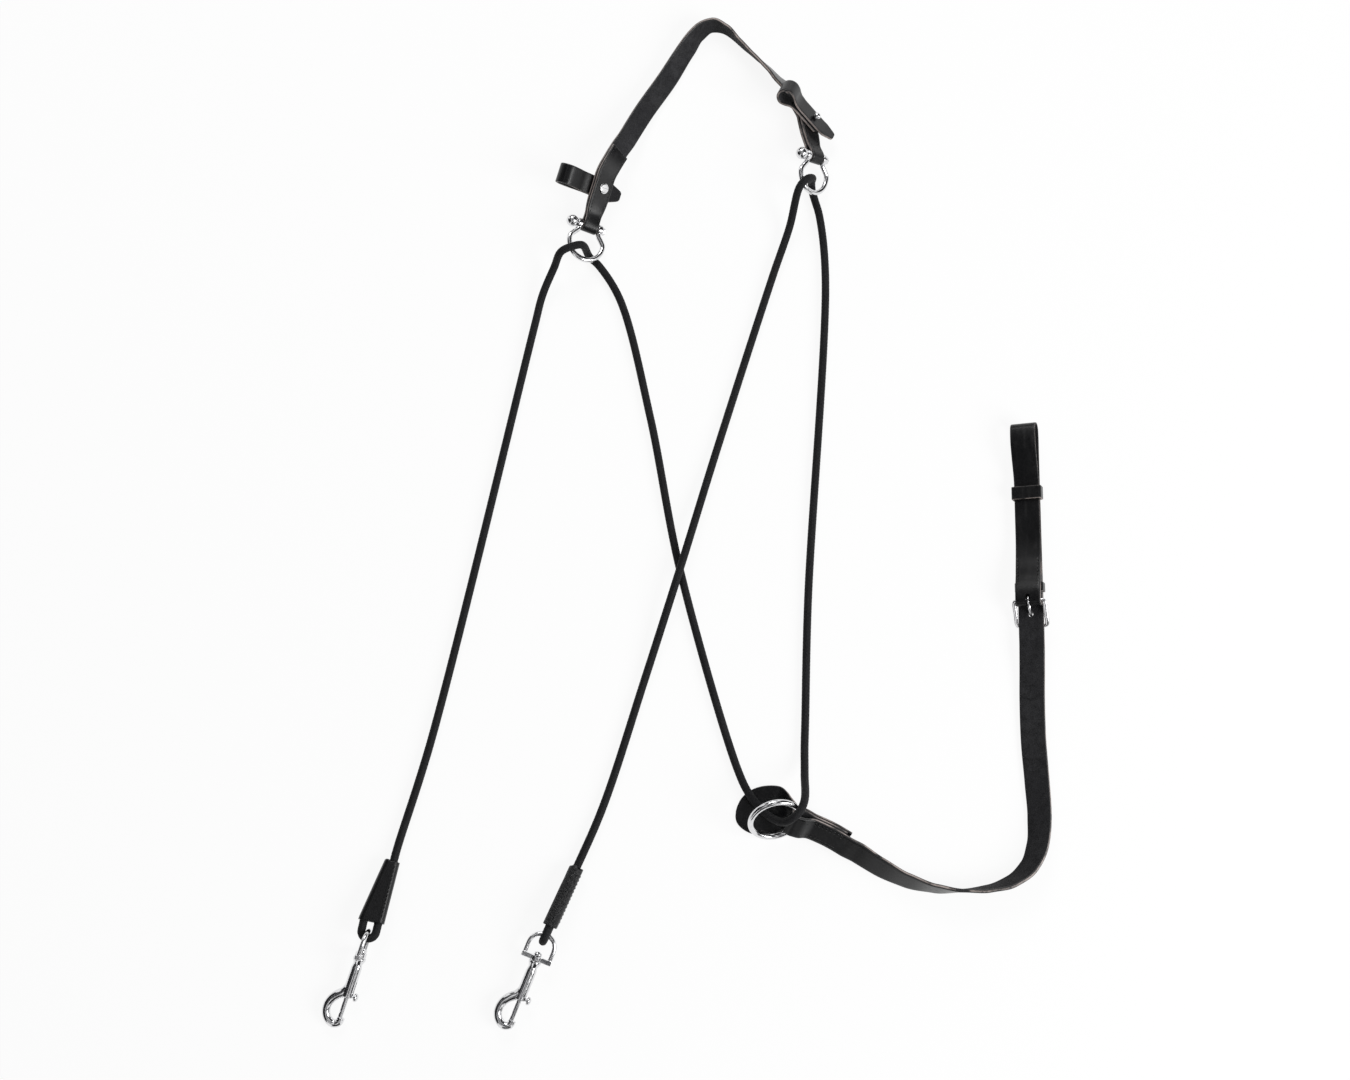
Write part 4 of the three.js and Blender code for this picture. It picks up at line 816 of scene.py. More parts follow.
TAB_WIDTH, TAB_THICKNESS, TAB_LOOP_REACH, TAB_LOOP_RADIUS, TAB_TAIL, TAB_POINT = 20, 2.8, 47, 8.5, 28, 13
STUD_FROM_PIN = 41
STUD_BALL, STUD_POST, STUD_FLANGE, STUD_FLANGE_RADIUS = 3.8, 2.0, 1.1, 4.8
SCREW_HEAD, SCREW_HEIGHT, SCREW_SHANK, SLOT_HALF, SLOT_DEPTH = 5.4, 1.4, 1.05, 0.6, 0.7

strap_face = poll_closed + POLL_THICKNESS / 2
tab_fixed = -(strap_face + REST_GAP + TAB_THICKNESS / 2)
flange_near = tab_fixed - TAB_THICKNESS / 2 - REST_GAP
flange_far = flange_near - STUD_FLANGE
tab_free = flange_far - REST_GAP - TAB_THICKNESS / 2
ball_centre = tab_free - TAB_THICKNESS / 2 - REST_GAP - STUD_BALL * 0.75


def tab_line(turn, tail_lift, bend):
    """Up the strap, round the open loop, back over the stud and on to the tip."""
    radius = TAB_LOOP_RADIUS
    middle = (tab_fixed + tab_free) / 2 + 0.6
    centre = TAB_LOOP_REACH - TAB_THICKNESS / 2 - radius
    past = (POLL_WIDTH / 2 + TAB_WIDTH / 2 * math.sin(turn)) / math.cos(turn) + 2
    reach = centre - past
    loop = [(reach * 0.3, tab_fixed + radius * 0.15 - middle), (reach * 0.68, radius * 0.78),
            *arc(reach, 0, radius, 90, -90, 7),
            (reach * 0.62, -radius * 0.86), (reach * 0.28, -radius * 0.58)]
    cos, sin = math.cos(bend), math.sin(bend)
    line = [(-9, tab_fixed), (past, tab_fixed),
            *[(past + x * cos + z * sin, middle - x * sin + z * cos) for x, z in loop],
            (past - 1, tab_free - 0.5), (9, tab_free), (-11, tab_free),
            *[(x, tab_free + tail_lift * part)
              for x, part in ((-16, 0.15), (-21, 0.5), (2 - TAB_TAIL, 0.85), (-TAB_TAIL, 1))]]
    return [(x, 0, z) for x, z in line]


def turned(profile, sides=40, axis="z"):
    """Rows of a turned body from its radius and height at each step of its profile."""
    cos, sin = circle(sides)
    rows = np.array([np.column_stack([r * cos, r * sin, np.full(sides, h)]) for r, h in profile])
    return np.roll(rows, "zxy".index(axis), -1)


def eased(profile, soft):
    """A turned profile with its corners taken off."""
    out = [profile[0]]
    for a, b, c in zip(*(np.array(profile, float)[k:] for k in range(3))):
        before, after = b - a, c - b
        reach = min(soft, np.linalg.norm(before) * 0.4, np.linalg.norm(after) * 0.4)
        if reach < 0.02 or unit(before) @ unit(after) > 0.93:
            out.append(b)
            continue
        start, end = b - unit(before) * reach, b + unit(after) * reach
        out += [(1 - s) ** 2 * start + 2 * s * (1 - s) * b + s * s * end for s in (0, 0.25, 0.5, 0.75, 1)]
    return [*out, profile[-1]]


def solid(rows, ring=False):
    """A closed body through rows of section points, to be joined to others or cut out."""
    points, quads, caps, inside_out = shell(rows, ring)
    mesh = bpy.data.meshes.new("solid")
    mesh.from_pydata(points.tolist(), [], [face[::-1 if inside_out else 1] for face in quads.tolist() + caps])
    made = bpy.data.objects.new("solid", mesh)
    scene.collection.objects.link(made)
    return made


def worked(name, solids, cuts=(), voxel=None, smoothing=6):
    """One body of metal or leather from overlapping solids, less what is bored or cut.

    A cast body, made with a voxel size, gets soft inner corners.
    """
    whole = solids[0]

    def settle(kind, **settings):
        modifier = whole.modifiers.new(kind.lower(), kind)
        for key, value in settings.items():
            setattr(modifier, key, value)
        graph = bpy.context.evaluated_depsgraph_get()
        settled = bpy.data.meshes.new_from_object(whole.evaluated_get(graph))
        whole.modifiers.clear()
        whole.data = settled

    for others, operation in ((solids[1:], "UNION"), (cuts, "DIFFERENCE")):
        for other in others:
            settle("BOOLEAN", operation=operation, object=other, solver="EXACT")
            bpy.data.objects.remove(other)
    if voxel:
        settle("REMESH", mode="VOXEL", voxel_size=voxel, adaptivity=0.0)
        settle("SMOOTH", factor=0.5, iterations=smoothing)
    mesh = whole.data
    mesh.name = name
    bpy.data.objects.remove(whole)
    return mesh


strap_finishes = [smooth_leather, rough_side, edge]
plate, tree, shader = new_finish("bright_nickel_plate", Metallic=1.0)
place = own_place(tree)
wear = use_group(tree, rubbed, Place=place, Amount=0.6, Scratches=520.0)["Mask"]
haze = noise(tree, place, 120.0, 4.0)
dulled = calculate(tree, "MULTIPLY", wear, 0.14)
feed(tree, shader, Base_Color=blend_colours(tree, wear, grey(0.77, 0.78), (0.52, 0.515, 0.51, 1)),
     Roughness=calculate(tree, "ADD", spread(tree, haze, 0.35, 0.7, 0.1, 0.18), dulled))
rough_bump(tree, shader, haze, 0.00005)


def plated(name, place, body, stands_for, solids, cuts=(), crisp=None, **casting):
    """A plated piece: worked in its own millimetres, then set down in its place."""
    mesh = worked(name, solids, cuts, **casting)
    points = np.zeros(len(mesh.vertices) * 3, np.float32)
    mesh.vertices.foreach_get("co", points)
    mesh.vertices.foreach_set("co", laid(place(points.reshape(-1, 3))).astype(np.float32).ravel())
    mesh.update()
    piece_of(mesh, body, stands_for, [plate], crisp)


stud = eased([
    *arc(0, ball_centre, STUD_BALL, -88, 58, 22), (STUD_POST, ball_centre + 3.2), (STUD_POST, flange_far),
    (STUD_FLANGE_RADIUS, flange_far), (STUD_FLANGE_RADIUS, flange_near), (STUD_POST, flange_near),
    (STUD_POST, strap_face - 0.4)], 0.3)
seat = strap_face + REST_GAP
top = seat + SCREW_HEIGHT
screw = eased([
    (SCREW_SHANK, flange_near + 2), (SCREW_SHANK, seat), (SCREW_HEAD, seat),
    (SCREW_HEAD, seat + SCREW_HEIGHT / 2), (SCREW_HEAD - 1.2, top), (0.4, top + 0.05)], 0.35)
slot_corners = ((-7, -SLOT_HALF), (7, -SLOT_HALF), (7, SLOT_HALF), (-7, SLOT_HALF))
screw_slot = np.array([[(x, y, z) for x, y in slot_corners] for z in (top - SLOT_DEPTH, seat + 4)])
for side, distance, turn, tail_lift, bend in (
    ("left", STUD_FROM_PIN, 0, 6.5, 12),
    ("right", poll_line.length - STUD_FROM_PIN, 38, -2, 0),
):
    middle, across, travel, face = poll_line.at(distance)
    towards_pin = np.cross(face, across)
    turn, bend = math.radians(turn), math.radians(bend)
    place = Place(middle, across * math.cos(turn) + towards_pin * math.sin(turn),
                  towards_pin * math.cos(turn) - across * math.sin(turn))
    line = evenly(through(tab_line(turn, tail_lift, bend), 14), 0.9)
    to_tip = np.minimum(np.linalg.norm(line - line[-1], axis=1), TAB_POINT)
    pointed = 0.5 + 0.5 * np.minimum(to_tip / TAB_POINT * 1.1, 1)
    width = TAB_WIDTH * pointed * (1 - 0.28 * np.exp(-to_tip / 0.7))
    width *= 0.94 + 0.06 * np.minimum(distances(line) / 1.5, 1)
    tab_mesh = strap_mesh(side + "_tab_leather", stations(place(line), place.y, width), TAB_THICKNESS, 0.9)
    piece_of(tab_mesh, side + "_tab", side + "_cheek_tab", strap_finishes)
    plated(side + "_ball_stud", place, "harness", side + "_tab_stud", [solid(turned(stud))], crisp=50)
    plated(side + "_slotted_screw", place, "harness", side + "_tab_stud_screw", [solid(turned(screw))],
           [solid(screw_slot)], crisp=40)

# ---- Bow shackles ---------------------------------------------------------------------
# A plated bow hangs on a pin in each fold of the poll strap. The pin has a ball at one end
# and a six-sided head at the other; the cord runs through the bow.

BOW_WIRE, BOW_RADIUS, BOW_DROP, BOW_EYE_THICKNESS, BOW_EYE_RADIUS = 5.5, 18.4, 18, 5, 5.4
PIN_BALL, PIN_HEAD = 12.5, 8
pin_radius = PIN_DIAMETER / 2
eye_centre = POLL_END_WIDTH / 2 + RUN_GAP + BOW_EYE_THICKNESS / 2 + 0.4
head_seat = eye_centre + BOW_EYE_THICKNESS / 2 + REST_GAP

half = [(eye_centre, -2), (eye_centre, -6.5), ((eye_centre + BOW_RADIUS) / 2, -11),
        *arc(0, -BOW_DROP, BOW_RADIUS, 6, -78, 5)]
bow_outline = [*half, (0, -BOW_RADIUS - BOW_DROP), *[(-x, y) for x, y in half[::-1]]]
bow_line = through([(x, y, 0) for x, y in bow_outline], 10)
half_eye = BOW_EYE_THICKNESS / 2
eye_corners = ((0.5, -half_eye), (BOW_EYE_RADIUS, -half_eye), (BOW_EYE_RADIUS, half_eye), (0.5, half_eye))
bow_eye = eased(eye_corners, 0.9)
pin = eased([
    *arc(0, -head_seat - PIN_BALL / 2 * 0.8, PIN_BALL / 2, -88, 52, 26), (3.6, -head_seat),
    (pin_radius, -head_seat), (pin_radius, head_seat),
    *[(r, head_seat + h) for r, h in ((3.2, 0), (3.2, 2), (2.4, 3.6), (0.6, 4.2))]], 0.3)
pin_head = [(r, head_seat + h) for r, h in ((3.3, 0), (PIN_HEAD / 2, 0.5), (PIN_HEAD / 2, 2.6), (3.3, 3.1))]
for side, end, sign, swing in (("left", poll_start, 1, -19), ("right", poll_end, -1, 22)):
    middle, across, travel, _ = end
    place = Place(middle, -across, travel * sign)
    eyes = [solid(turned(bow_eye, axis="x") + (x, 0, 0)) for x in (-eye_centre, eye_centre)]
    bore = turned([(pin_radius + RUN_GAP, -40), (pin_radius + RUN_GAP, 40)], axis="x")
    plated(side + "_bow", place.turned_about_x(swing), side + "_bow", side + "_shackle_bow",
           [solid(wire_rows(bow_line, BOW_WIRE / 2)), *eyes], [solid(bore)], voxel=0.28)
    plated(side + "_pin", place, "harness", side + "_shackle_pin",
           [solid(turned(pin, axis="x")), solid(turned(pin_head, 6, "x"))], voxel=0.24, smoothing=3)

# ---- Breast ring ----------------------------------------------------------------------
# A closed ring of 6 mm wire, plated and polished, in the fold of the girth strap. It stands
# up from its leather pad, and the cord runs through it.

RING_RADIUS, RING_WIRE = 24, 6
ring_normal, ring_level = unit((0.18, -0.75, 0.63)), unit((0.75, 0.18, 0))
ring_rise = np.cross(ring_normal, ring_level)


def wire_ring(radius, wire, steps, sides):
    """Rows of a round wire bent to a closed ring in the plane of x and y."""
    (cos, sin), (out, up) = circle(steps), circle(sides)
    reach = radius + wire / 2 * out
    rise = np.broadcast_to(wire / 2 * up, (steps, sides))
    return np.stack([cos[:, None] * reach, sin[:, None] * reach, rise], -1)


ring_rows = Place(RING_CENTRE, ring_level, ring_rise)(wire_ring(RING_RADIUS, RING_WIRE, 160, 28))
piece_of(skin("polished_ring", ring_rows, ring=True), "ring", "breast_ring", [plate])

# ---- Girth strap ----------------------------------------------------------------------
# One strap of bridle leather, 25 mm wide. It is folded round the ring and sewn in two rows,
# lies in a bend on its edge, and ends in a loop: round the top, back through the keeper, and
# folded round the buckle's bar, where a slot lets the tongue through.

GIRTH_WIDTH, GIRTH_THICKNESS, GIRTH_TURNBACK = 25, 3.6, 50
FOLD_ANGLE, FOLD_SWING = math.radians(-30), math.radians(12)
BUCKLE_WIRE, BUCKLE_LENGTH, TONGUE_WIRE, CHAPE_TURNBACK = 3.8, 24, 2.8, 46
LOOP_END, LOOP_RADIUS, LOOP_TILT, LOOP_SINK = 179, 7.5, math.radians(24), math.radians(1.5)
STRAIGHT_FROM = -44
RING_SEAM_INSETS = (2.4, 5.2)
HOLE_AT, HOLE_RADIUS, HOLE_LEAN = -13.4, 2.6, 0.55
SLOT_AT, SLOT_OVER = -2, 2
PARED_FROM, PARED_DROP = 20, 1.3

half_girth = GIRTH_THICKNESS / 2
outward = ring_level * math.cos(FOLD_ANGLE) + ring_rise * math.sin(FOLD_ANGLE)
edge_radius = math.sqrt(RING_RADIUS ** 2 - (GIRTH_WIDTH / 2) ** 2)
wire_bow = RING_RADIUS - edge_radius
fold_point = RING_CENTRE + outward * edge_radius
fold_across = np.cross(ring_normal, outward)
fold_travel = outward * math.cos(FOLD_SWING) + ring_normal * math.sin(FOLD_SWING)
fold_lean = math.degrees(math.asin(fold_across[2]))
loop_place = Place((331, -104, 13.4), (math.cos(LOOP_TILT), 0, math.sin(LOOP_TILT)),
                   (0, math.cos(LOOP_SINK), -math.sin(LOOP_SINK)))
girth_line = LeaningLine((
    *[(*(fold_point + fold_travel * d), fold_lean) for d in (0, 7, 14)],
    (130, -332.5, 15.6, 43), (154, -347, 14.6, 44), (176, -361, 13.2, 50), (202, -374, 12.8, 62),
    (230, -382, 13, 76), (256, -384, 13.1, 89), (282, -382, 13, 99), (304, -375, 12.6, 110),
    (321, -361, 11.8, 121), (330, -341, 10.8, 132), (333, -314, 9.4, 142), (332, -280, 8.4, 149),
    (330, -240, 8, 153), (330, -200, 8.6, 155), (330.6, -172, 10.6, 156),
    (*loop_place((0, STRAIGHT_FROM, 0)), 180 - math.degrees(LOOP_TILT)),
))
girth_fold = (RING_WIRE / 2 + wire_bow * math.sin(FOLD_SWING) + REST_GAP + half_girth,
              half_girth + REST_GAP / 2, wire_bow + 2, GIRTH_TURNBACK)


def girth_layer(distance, sign):
    return strap_layer(girth_line, distance, sign * layer_offset(distance, *girth_fold), GIRTH_WIDTH)


# Levels above the loop's back layer.
front_level = GIRTH_THICKNESS + REST_GAP
bar_level = half_girth + REST_GAP + GIRTH_THICKNESS + REST_GAP + BUCKLE_WIRE / 2
bar_fold = BUCKLE_WIRE / 2 + REST_GAP + half_girth
chape_level = bar_level - bar_fold
upper_level = chape_level + GIRTH_THICKNESS + REST_GAP
loop_top = LOOP_END - LOOP_RADIUS
loop_profile = [
    *[(y, 0) for y in np.linspace(STRAIGHT_FROM + 12, loop_top, 6)],
    *arc(loop_top, LOOP_RADIUS, LOOP_RADIUS, -60, 60, 5), (loop_top, 2 * LOOP_RADIUS),
    (loop_top - 12, 2 * LOOP_RADIUS), (loop_top - 26, 11.6), (loop_top - 40, 7),
    (loop_top - 50, front_level + 0.5),
    *[(y, front_level) for y in np.linspace(loop_top - 57, CHAPE_TURNBACK + 14, 3)],
    (CHAPE_TURNBACK, front_level + 1.35), (CHAPE_TURNBACK - 11, upper_level - 1.1),
    (CHAPE_TURNBACK - 21, upper_level), (19, upper_level + 1.2), (9, bar_level + bar_fold - 0.5),
    *arc(0, bar_level, bar_fold, 90, 270, 8),
    *[(y, chape_level - PARED_DROP * smoothstep(y, PARED_FROM, CHAPE_TURNBACK))
      for y in np.linspace(10, CHAPE_TURNBACK, 8)],
]
loop_line = evenly(through([(0, y, z) for y, z in loop_profile], 16), 1.2)
girth_end = (fold_point, fold_across, fold_travel, np.cross(fold_travel, fold_across))
sewn = np.linspace(0, GIRTH_TURNBACK, 40)
before_loop = np.vstack([
    girth_layer(sewn[::-1], -1), round_pin(girth_end, girth_fold[0], -1, -1, GIRTH_WIDTH),
    girth_layer(np.linspace(0, girth_line.length, 420), 1)])
chape = np.arange(len(loop_line)) > np.argmin(loop_line[:, 1])
thinned = 2 * PARED_DROP / GIRTH_THICKNESS * smoothstep(loop_line[:, 1], PARED_FROM, CHAPE_TURNBACK)
girth = np.vstack([before_loop, stations(loop_place(loop_line), loop_place.x, GIRTH_WIDTH)])
pared = np.concatenate([np.ones(len(before_loop)), 1 - thinned * chape])
girth_body = bpy.data.objects.new("girth_body", strap_mesh("girth_body", girth, GIRTH_THICKNESS, pared=pared))
scene.collection.objects.link(girth_body)
for finish in strap_finishes:
    girth_body.data.materials.append(finish)

# The slot for the tongue is cut right through the fold, and the hole aslant.
tongue_eye = BUCKLE_WIRE / 2 + RUN_GAP + TONGUE_WIRE / 2
slot_end, slot_reach = TONGUE_WIRE / 2 + 0.7, tongue_eye + SLOT_OVER
slot_plan = [*arc(0, SLOT_AT + slot_reach, slot_end, 0, 180, 9),
             *arc(0, SLOT_AT - slot_reach, slot_end, 180, 360, 9)]
slot_levels = [bar_level + 0.1 + half_girth + sign * (bar_fold + GIRTH_THICKNESS) for sign in (-1, 1)]
slot_rows = np.array([[(x, y, level) for x, y in slot_plan] for level in slot_levels])
hole_place = Place((0, HOLE_AT, 0.2), (1, 0, 0), (0, math.cos(HOLE_LEAN), -math.sin(HOLE_LEAN)))
hole_rows = hole_place(turned([(HOLE_RADIUS, -4.5), (HOLE_RADIUS, 4.5)], 28))
cuts = [solid(laid(loop_place(rows))) for rows in (slot_rows, hole_rows)]
girth_mesh = worked("girth_strap_leather", [girth_body], cuts)
piece_of(girth_mesh, "harness", "girth_strap", strap_finishes, crisp=50)

girth_seams = []
for sign in (1, -1):
    out = girth_line.at(sewn[4:-1])[3] * sign
    girth_seams += edge_seams(girth_layer(sewn[4:-1], sign), out, GIRTH_THICKNESS, *RING_SEAM_INSETS)
chape_y = np.linspace(12, CHAPE_TURNBACK - 3, 24)
upper_rise = np.interp(chape_y, (9, 19, 30), (3.2, 1.2, 0))
for levels, sign in ((upper_level + upper_rise, 1), (chape_level + 0 * chape_y, -1)):
    layer = stations(loop_place([(0, y, z) for y, z in zip(chape_y, levels)]), loop_place.x, GIRTH_WIDTH)
    girth_seams += edge_seams(layer, np.tile(loop_place.z * sign, (24, 1)), GIRTH_THICKNESS, SEAM_INSET)
stitches("girth_strap_stitching", girth_seams)

# ---- Ring safe ------------------------------------------------------------------------
# An oval pad of the same leather, sewn in under the strap's end, that keeps the ring off
# the horse's chest.

SAFE_THICKNESS = 2.8
# Along the pad: a point of its middle line, how far its width leans, and its width.
SAFE_PAD = (
    (39.8, -306, 1.9, 2, 5), (40.2, -306, 1.9, 2, 11), (41.2, -306, 1.9, 2, 18), (43.4, -306, 1.9, 2, 26.5),
    (48, -306, 2, 2, 36), (56, -306.5, 2.3, 2, 45), (67, -307.5, 2.5, 2.5, 50), (77, -309, 3.3, 4, 50),
    (84, -311, 5.6, 11, 43), (88.5, -312.3, 8.3, 22, 36),
)
safe_level = unit((-fold_travel[1], fold_travel[0], 0))
sewn_along = np.linspace(0, GIRTH_TURNBACK + 4, 7)
under = layer_offset(np.minimum(sewn_along, GIRTH_TURNBACK), *girth_fold)
under += half_girth + REST_GAP + SAFE_THICKNESS / 2
pad = np.array(SAFE_PAD)
lean = np.radians(pad[:, 3:4])
pad_across = safe_level * np.cos(lean) + np.array((0, 0, 1)) * np.sin(lean)
safe = np.vstack([stations(pad[:, :3], pad_across, pad[:, 4]),
                  strap_layer(girth_line, sewn_along, -under, GIRTH_WIDTH)])
safe_mesh = strap_mesh("oval_safe", evenly(through(safe, 14), 1.0), SAFE_THICKNESS, 0.9)
piece_of(safe_mesh, "harness", "ring_safe", strap_finishes)

# ---- Buckle ---------------------------------------------------------------------------
# A plated roller-less buckle: a rectangular frame with flattened sides in the strap's fold,
# and a tongue that is bent round the same bar and through the strap's hole.

FRAME_CORNER, FRAME_STEPS = 3, 12
leg_x = GIRTH_WIDTH / 2 + RUN_GAP + BUCKLE_WIRE / 2 + 0.3
far_level = -(half_girth + REST_GAP + BUCKLE_WIRE / 2)
frame_fall = np.array((0, -BUCKLE_LENGTH, far_level - bar_level))
step = FRAME_CORNER / BUCKLE_LENGTH
quarter = [(leg_x / 2, 0), (leg_x - FRAME_CORNER, 0), (leg_x - 0.9, step * 0.3), (leg_x, step)]
right = [*quarter, (leg_x, 0.5), *[(x, 1 - part) for x, part in quarter[::-1]]]
outline = [*right, *[(-x, part) for x, part in right[::-1]]]
outline = [frame_fall * part + (x, 0, bar_level) for x, part in outline]
# The curve starts before its first point and runs past its last, so that it closes smoothly.
whole_turn = slice(3 * FRAME_STEPS, (3 + len(outline)) * FRAME_STEPS)
frame_line = through([*outline[-3:], *outline, *outline[:3]], FRAME_STEPS)[whole_turn]
frame_normal = unit(np.cross((1, 0, 0), frame_fall))
inward = np.cross(unit(np.roll(frame_line, -1, 0) - np.roll(frame_line, 1, 0)), frame_normal)
flat = smoothstep(np.abs(frame_line[:, 0]), leg_x - 2.2, leg_x - 0.3)[:, None]
cos, sin = circle(24)
wide, thick = (BUCKLE_WIRE / 2 * ((1 - flat) * part + flat * np.sign(part) * np.abs(part) ** 0.75 * share)
               for part, share in ((cos, 1.12), (sin, 0.86)))
frame_rows = frame_line[:, None] + inward[:, None] * wide[..., None] + frame_normal * thick[..., None]
frame_mesh = skin("plated_buckle", loop_place(frame_rows), ring=True)
piece_of(frame_mesh, "harness", "buckle_frame", [plate])

tip_level = far_level - BUCKLE_WIRE / 2 - REST_GAP - TONGUE_WIRE / 2
tongue_line = through([(0, y, z) for y, z in (
    (-tongue_eye + 0.4, bar_level - 0.3), (-7.6, bar_level - 1.6), (-11, bar_level - 4.6), (HOLE_AT, 0.4),
    (-16.2, -4.4), (-20, tip_level - 0.1), (-BUCKLE_LENGTH - 2.6, tip_level - 0.1))], 10)
tongue_stout = TONGUE_WIRE / 2 * (1 - 0.22 * smoothstep(np.linspace(0, 1, len(tongue_line)), 0.7, 1))
prong_eye = np.roll(wire_ring(tongue_eye, TONGUE_WIRE, 60, 20), 1, -1) + (0, 0, bar_level)
plated("buckle_prong", loop_place, "harness", "buckle_tongue",
       [solid(wire_rows(tongue_line, tongue_stout, 20)), solid(prong_eye, ring=True)],
       voxel=0.22, smoothing=4)

# ---- Keepers --------------------------------------------------------------------------
# Two bands of thin leather: one that slides along the loop and sets its size, its ends
# butted and sewn underneath, and a small one fixed at the buckle, its ends sewn into the fold.

KEEPER_FROM_TOP, KEEPER_LENGTH, KEEPER_THICKNESS = 70, 13, 2
CHAPE_KEEPER_AT, CHAPE_KEEPER_LENGTH, CHAPE_KEEPER_THICKNESS = 9, 9, 1.3
keeper_x = GIRTH_WIDTH / 2 + RUN_GAP
keeper_low = -half_girth - RUN_GAP


def band_path(x, low, high, r):
    """The middle line of a band round a strap, its corners rounded, as x and level."""
    corners = ((x - r, low + r, -90), (x - r, high - r, 0), (r - x, high - r, 90), (r - x, low + r, 180))
    return [point for cx, cz, start in corners for point in arc(cx, cz, r, start, start + 90, 7)]


def band(name, body, stands_for, path, y, length, thickness, softness, ring=False):
    """A band of leather across the loop, at a distance along it."""
    line = evenly(np.insert(path, 1, y, axis=1), 0.6)[:-1 if ring else None]
    mesh = strap_mesh(name, stations(loop_place(line), loop_place.y, length), thickness, softness, ring)
    piece_of(mesh, body, stands_for, [smooth_leather, smooth_leather, edge])


wall = KEEPER_THICKNESS / 2
path = band_path(keeper_x + wall, keeper_low - wall, front_level + half_girth + RUN_GAP + wall, 1.3)
band("sliding_keeper", "keeper", "loop_keeper", [*path, path[0]], LOOP_END - KEEPER_FROM_TOP,
     KEEPER_LENGTH, KEEPER_THICKNESS, 0.7, ring=True)
wall = CHAPE_KEEPER_THICKNESS / 2
flap = chape_level + half_girth + REST_GAP + wall
path = band_path(keeper_x + wall, keeper_low - wall, flap, 0.9)
path = [(5 - keeper_x, flap), *path[14:], *path[:14], (keeper_x - 5, flap)]
band("sewn_keeper", "harness", "chape_keeper", path, CHAPE_KEEPER_AT + CHAPE_KEEPER_LENGTH / 2,
     CHAPE_KEEPER_LENGTH, CHAPE_KEEPER_THICKNESS, 0.45)

# ---- Swivel snaps ---------------------------------------------------------------------
# Each end carries a swivel bolt snap for the bit: a cast eye with a bored crossbar, a cast
# body that turns in it on a headed post and runs out to a hook, and in its barrel a bolt
# with a thumb knob, pushed shut by a coil spring.

EYE_WIRE, EYE_HALF_WIDTH, EYE_BOSS, CROSSBAR_HALF, CROSSBAR_RISE = 4.5, 12.8, 5.4, 2.2, 2.6
POST_DIAMETER, BARREL_DIAMETER, BARREL_END = 5.2, 11, 42
BOLT_DIAMETER, BOLT_TOP, BOLT_TIP, BORE_TOP, KNOB_AT, BOLT_TRAVEL = 4.6, 33, 62.5, 13, 40, 12
SPRING_WIRE, SPRING_TURNS = 0.7, 6
# Along the hook: x and y of its middle line, and its radius there.
HOOK = ((-1.6, -33, 4.2), (-4.4, -38.4, 4.6), (-9, -42.4, 4.6), (-13, -47.4, 4.4), (-15.2, -54, 4.2),
        (-14.6, -61, 4.1), (-10.8, -66.8, 4.1), (-5, -69.6, 4), (0, -67.4, 3.9), (1.2, -62, 3.7))

bolt, barrel, post, seat = BOLT_DIAMETER / 2, BARREL_DIAMETER / 2, POST_DIAMETER / 2, CROSSBAR_HALF + RUN_GAP
bar_end = EYE_HALF_WIDTH + EYE_WIRE / 2
arch_centre = EYE_HEIGHT - EYE_HALF_WIDTH
arch = through([(x, y, 0) for x, y in (
    (EYE_HALF_WIDTH, 0), (EYE_HALF_WIDTH, arch_centre * 0.6),
    *arc(0, arch_centre, EYE_HALF_WIDTH, 0, 180, 11),
    (-EYE_HALF_WIDTH, arch_centre * 0.6), (-EYE_HALF_WIDTH, 0))], 10)
barrel_profile = eased([
    (0.5, -BARREL_END), (barrel - 0.6, -BARREL_END), (barrel, -BARREL_END + 0.8), (barrel - 0.3, -13),
    (barrel - 1.2, -9), (barrel - 0.2, -6.4), (barrel + 0.7, -4.6), (barrel + 0.5, -seat), (post, -seat),
    (post, seat), (post + 1.3, seat), (post + 1.6, seat + 1.6), (post + 0.9, seat + 3), (1.6, seat + 3.8),
    (0.3, seat + 4)], 0.4)
rod_profile = [(bolt - 0.4, -BOLT_TIP), (bolt, -BOLT_TIP + 0.5), (bolt, -BOLT_TOP)]
knob_profile = eased([(1.5, 0), (1.5, 6.6), (3.4, 6.6), (4.2, 7.4), (4.2, 8.6), (3.4, 9.8), (1.6, 10.6),
                      (0.3, 10.8)], 0.5)
hook = through([(x, y, 0, stout) for x, y, stout in HOOK], 8)


def block(x0, x1, y0, y1, half_rise):
    """A square-edged block, as high above the middle as below."""
    corners = ((x0, -half_rise), (x1, -half_rise), (x1, half_rise), (x0, half_rise))
    return solid(np.array([[(x, y, z) for x, z in corners] for y in (y0, y1)], float))


def cylinder(radius, low, high):
    return solid(turned([(radius, low), (radius, high)], axis="y"))


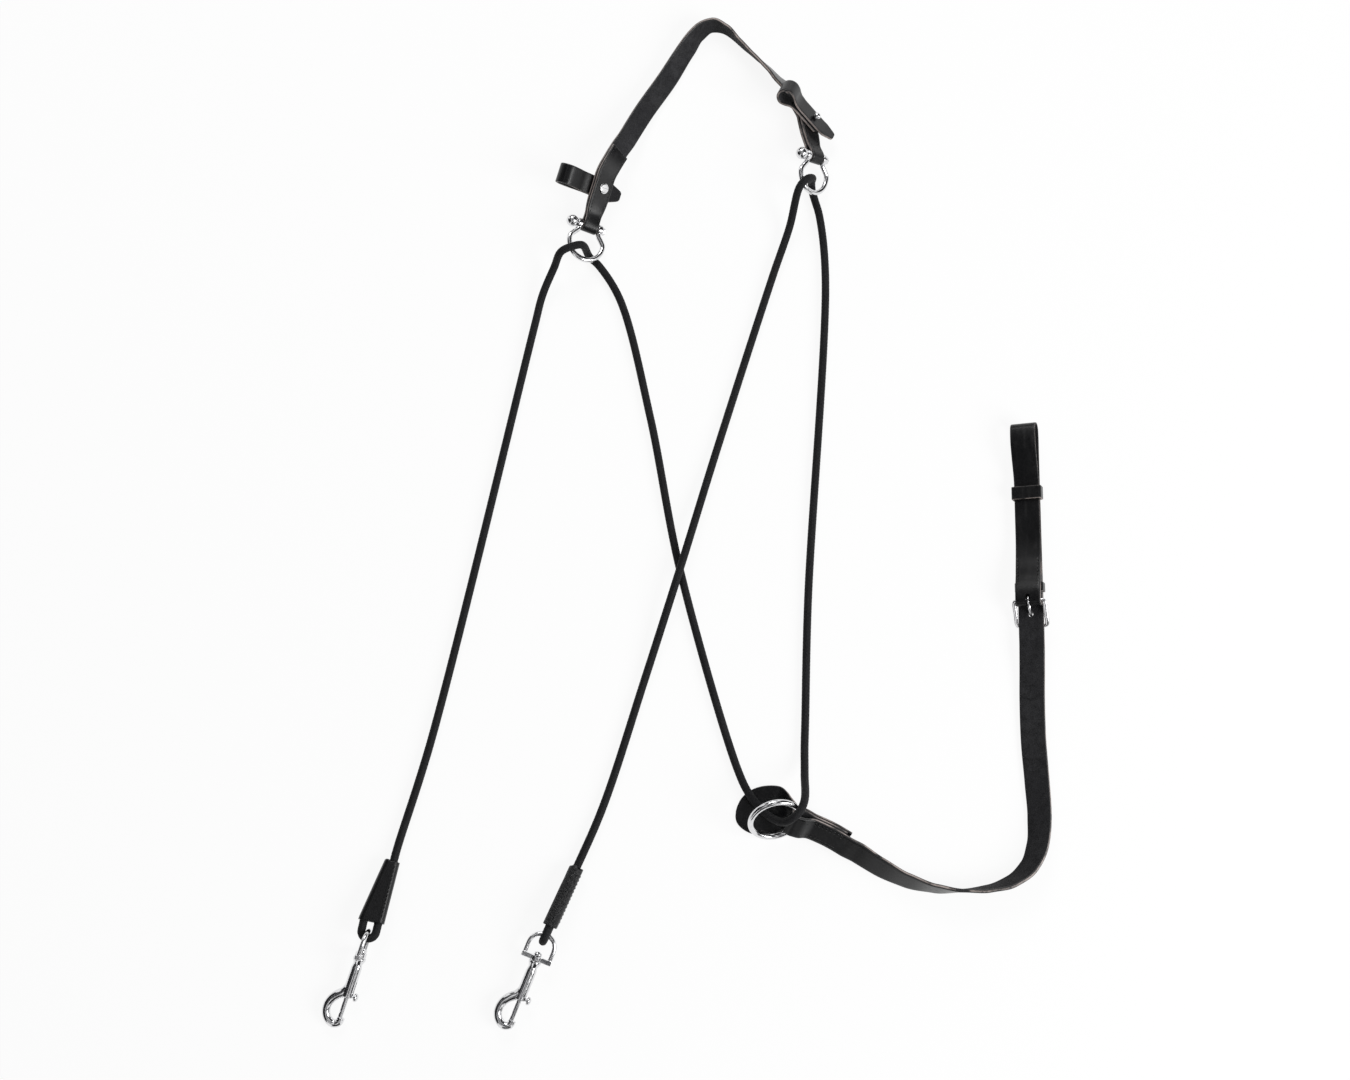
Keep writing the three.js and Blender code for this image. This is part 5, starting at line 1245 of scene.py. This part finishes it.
for side, eye_turn in (("left", 90), ("right", 0)):
    place = snap_places[side]
    hoop = solid(wire_rows(arch, EYE_WIRE / 2))
    crossbar = block(-bar_end, bar_end, -CROSSBAR_HALF, CROSSBAR_HALF, CROSSBAR_RISE)
    boss = cylinder(EYE_BOSS, -CROSSBAR_HALF, CROSSBAR_HALF)
    plated(side + "_cast_eye", place.turned_about_y(eye_turn), side + "_eye", side + "_swivel_eye",
           [hoop, crossbar, boss], [cylinder(post + RUN_GAP, -9, 9)], voxel=0.26, smoothing=5)
    knob_slot = block(0, barrel + 4, -BARREL_END - 6, -KNOB_AT + BOLT_TRAVEL + 2.6, 2.1)
    plated(side + "_cast_body", place, side + "_snap", side + "_snap_body",
           [solid(turned(barrel_profile, axis="y")), solid(wire_rows(hook[:, :3], hook[:, 3]))],
           [cylinder(bolt + RUN_GAP, -BOLT_TIP - 0.3, -BORE_TOP), knob_slot], voxel=0.3)
    plated(side + "_thumb_bolt", place, side + "_bolt", side + "_snap_bolt",
           [solid(turned(rod_profile, axis="y")), solid(turned(knob_profile, axis="x") - (0, KNOB_AT, 0))],
           voxel=0.24, smoothing=3)

# The springs are drawn wire with a dull polish.
spring_steel, tree, shader = new_finish("drawn_spring_wire", Metallic=1.0, Roughness=0.32)
drawn = noise(tree, own_place(tree), 1400.0, 3.0)
feed(tree, shader, Base_Color=blend_colours(tree, drawn, grey(0.4, 0.41), grey(0.6, 0.61)))
coil_low, coil_high = REST_GAP + SPRING_WIRE / 2 - BOLT_TOP, -BORE_TOP - REST_GAP - SPRING_WIRE / 2
part = np.linspace(0, 1, SPRING_TURNS * 28 + 1)
turn = 2 * np.pi * SPRING_TURNS * part
coil = (bolt - SPRING_WIRE / 2) * np.stack([np.cos(turn), 0 * part, np.sin(turn)], 1)
coil[:, 1] = coil_low + (coil_high - coil_low) * part
for side, place in snap_places.items():
    coil_mesh = skin(side + "_coil_spring", place(wire_rows(coil, SPRING_WIRE / 2, 10)))
    spring = piece_of(coil_mesh, side + "_snap", side + "_snap_spring", [spring_steel])
    tuple(laid(place((0, -BORE_TOP, 0))))
    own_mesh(spring)
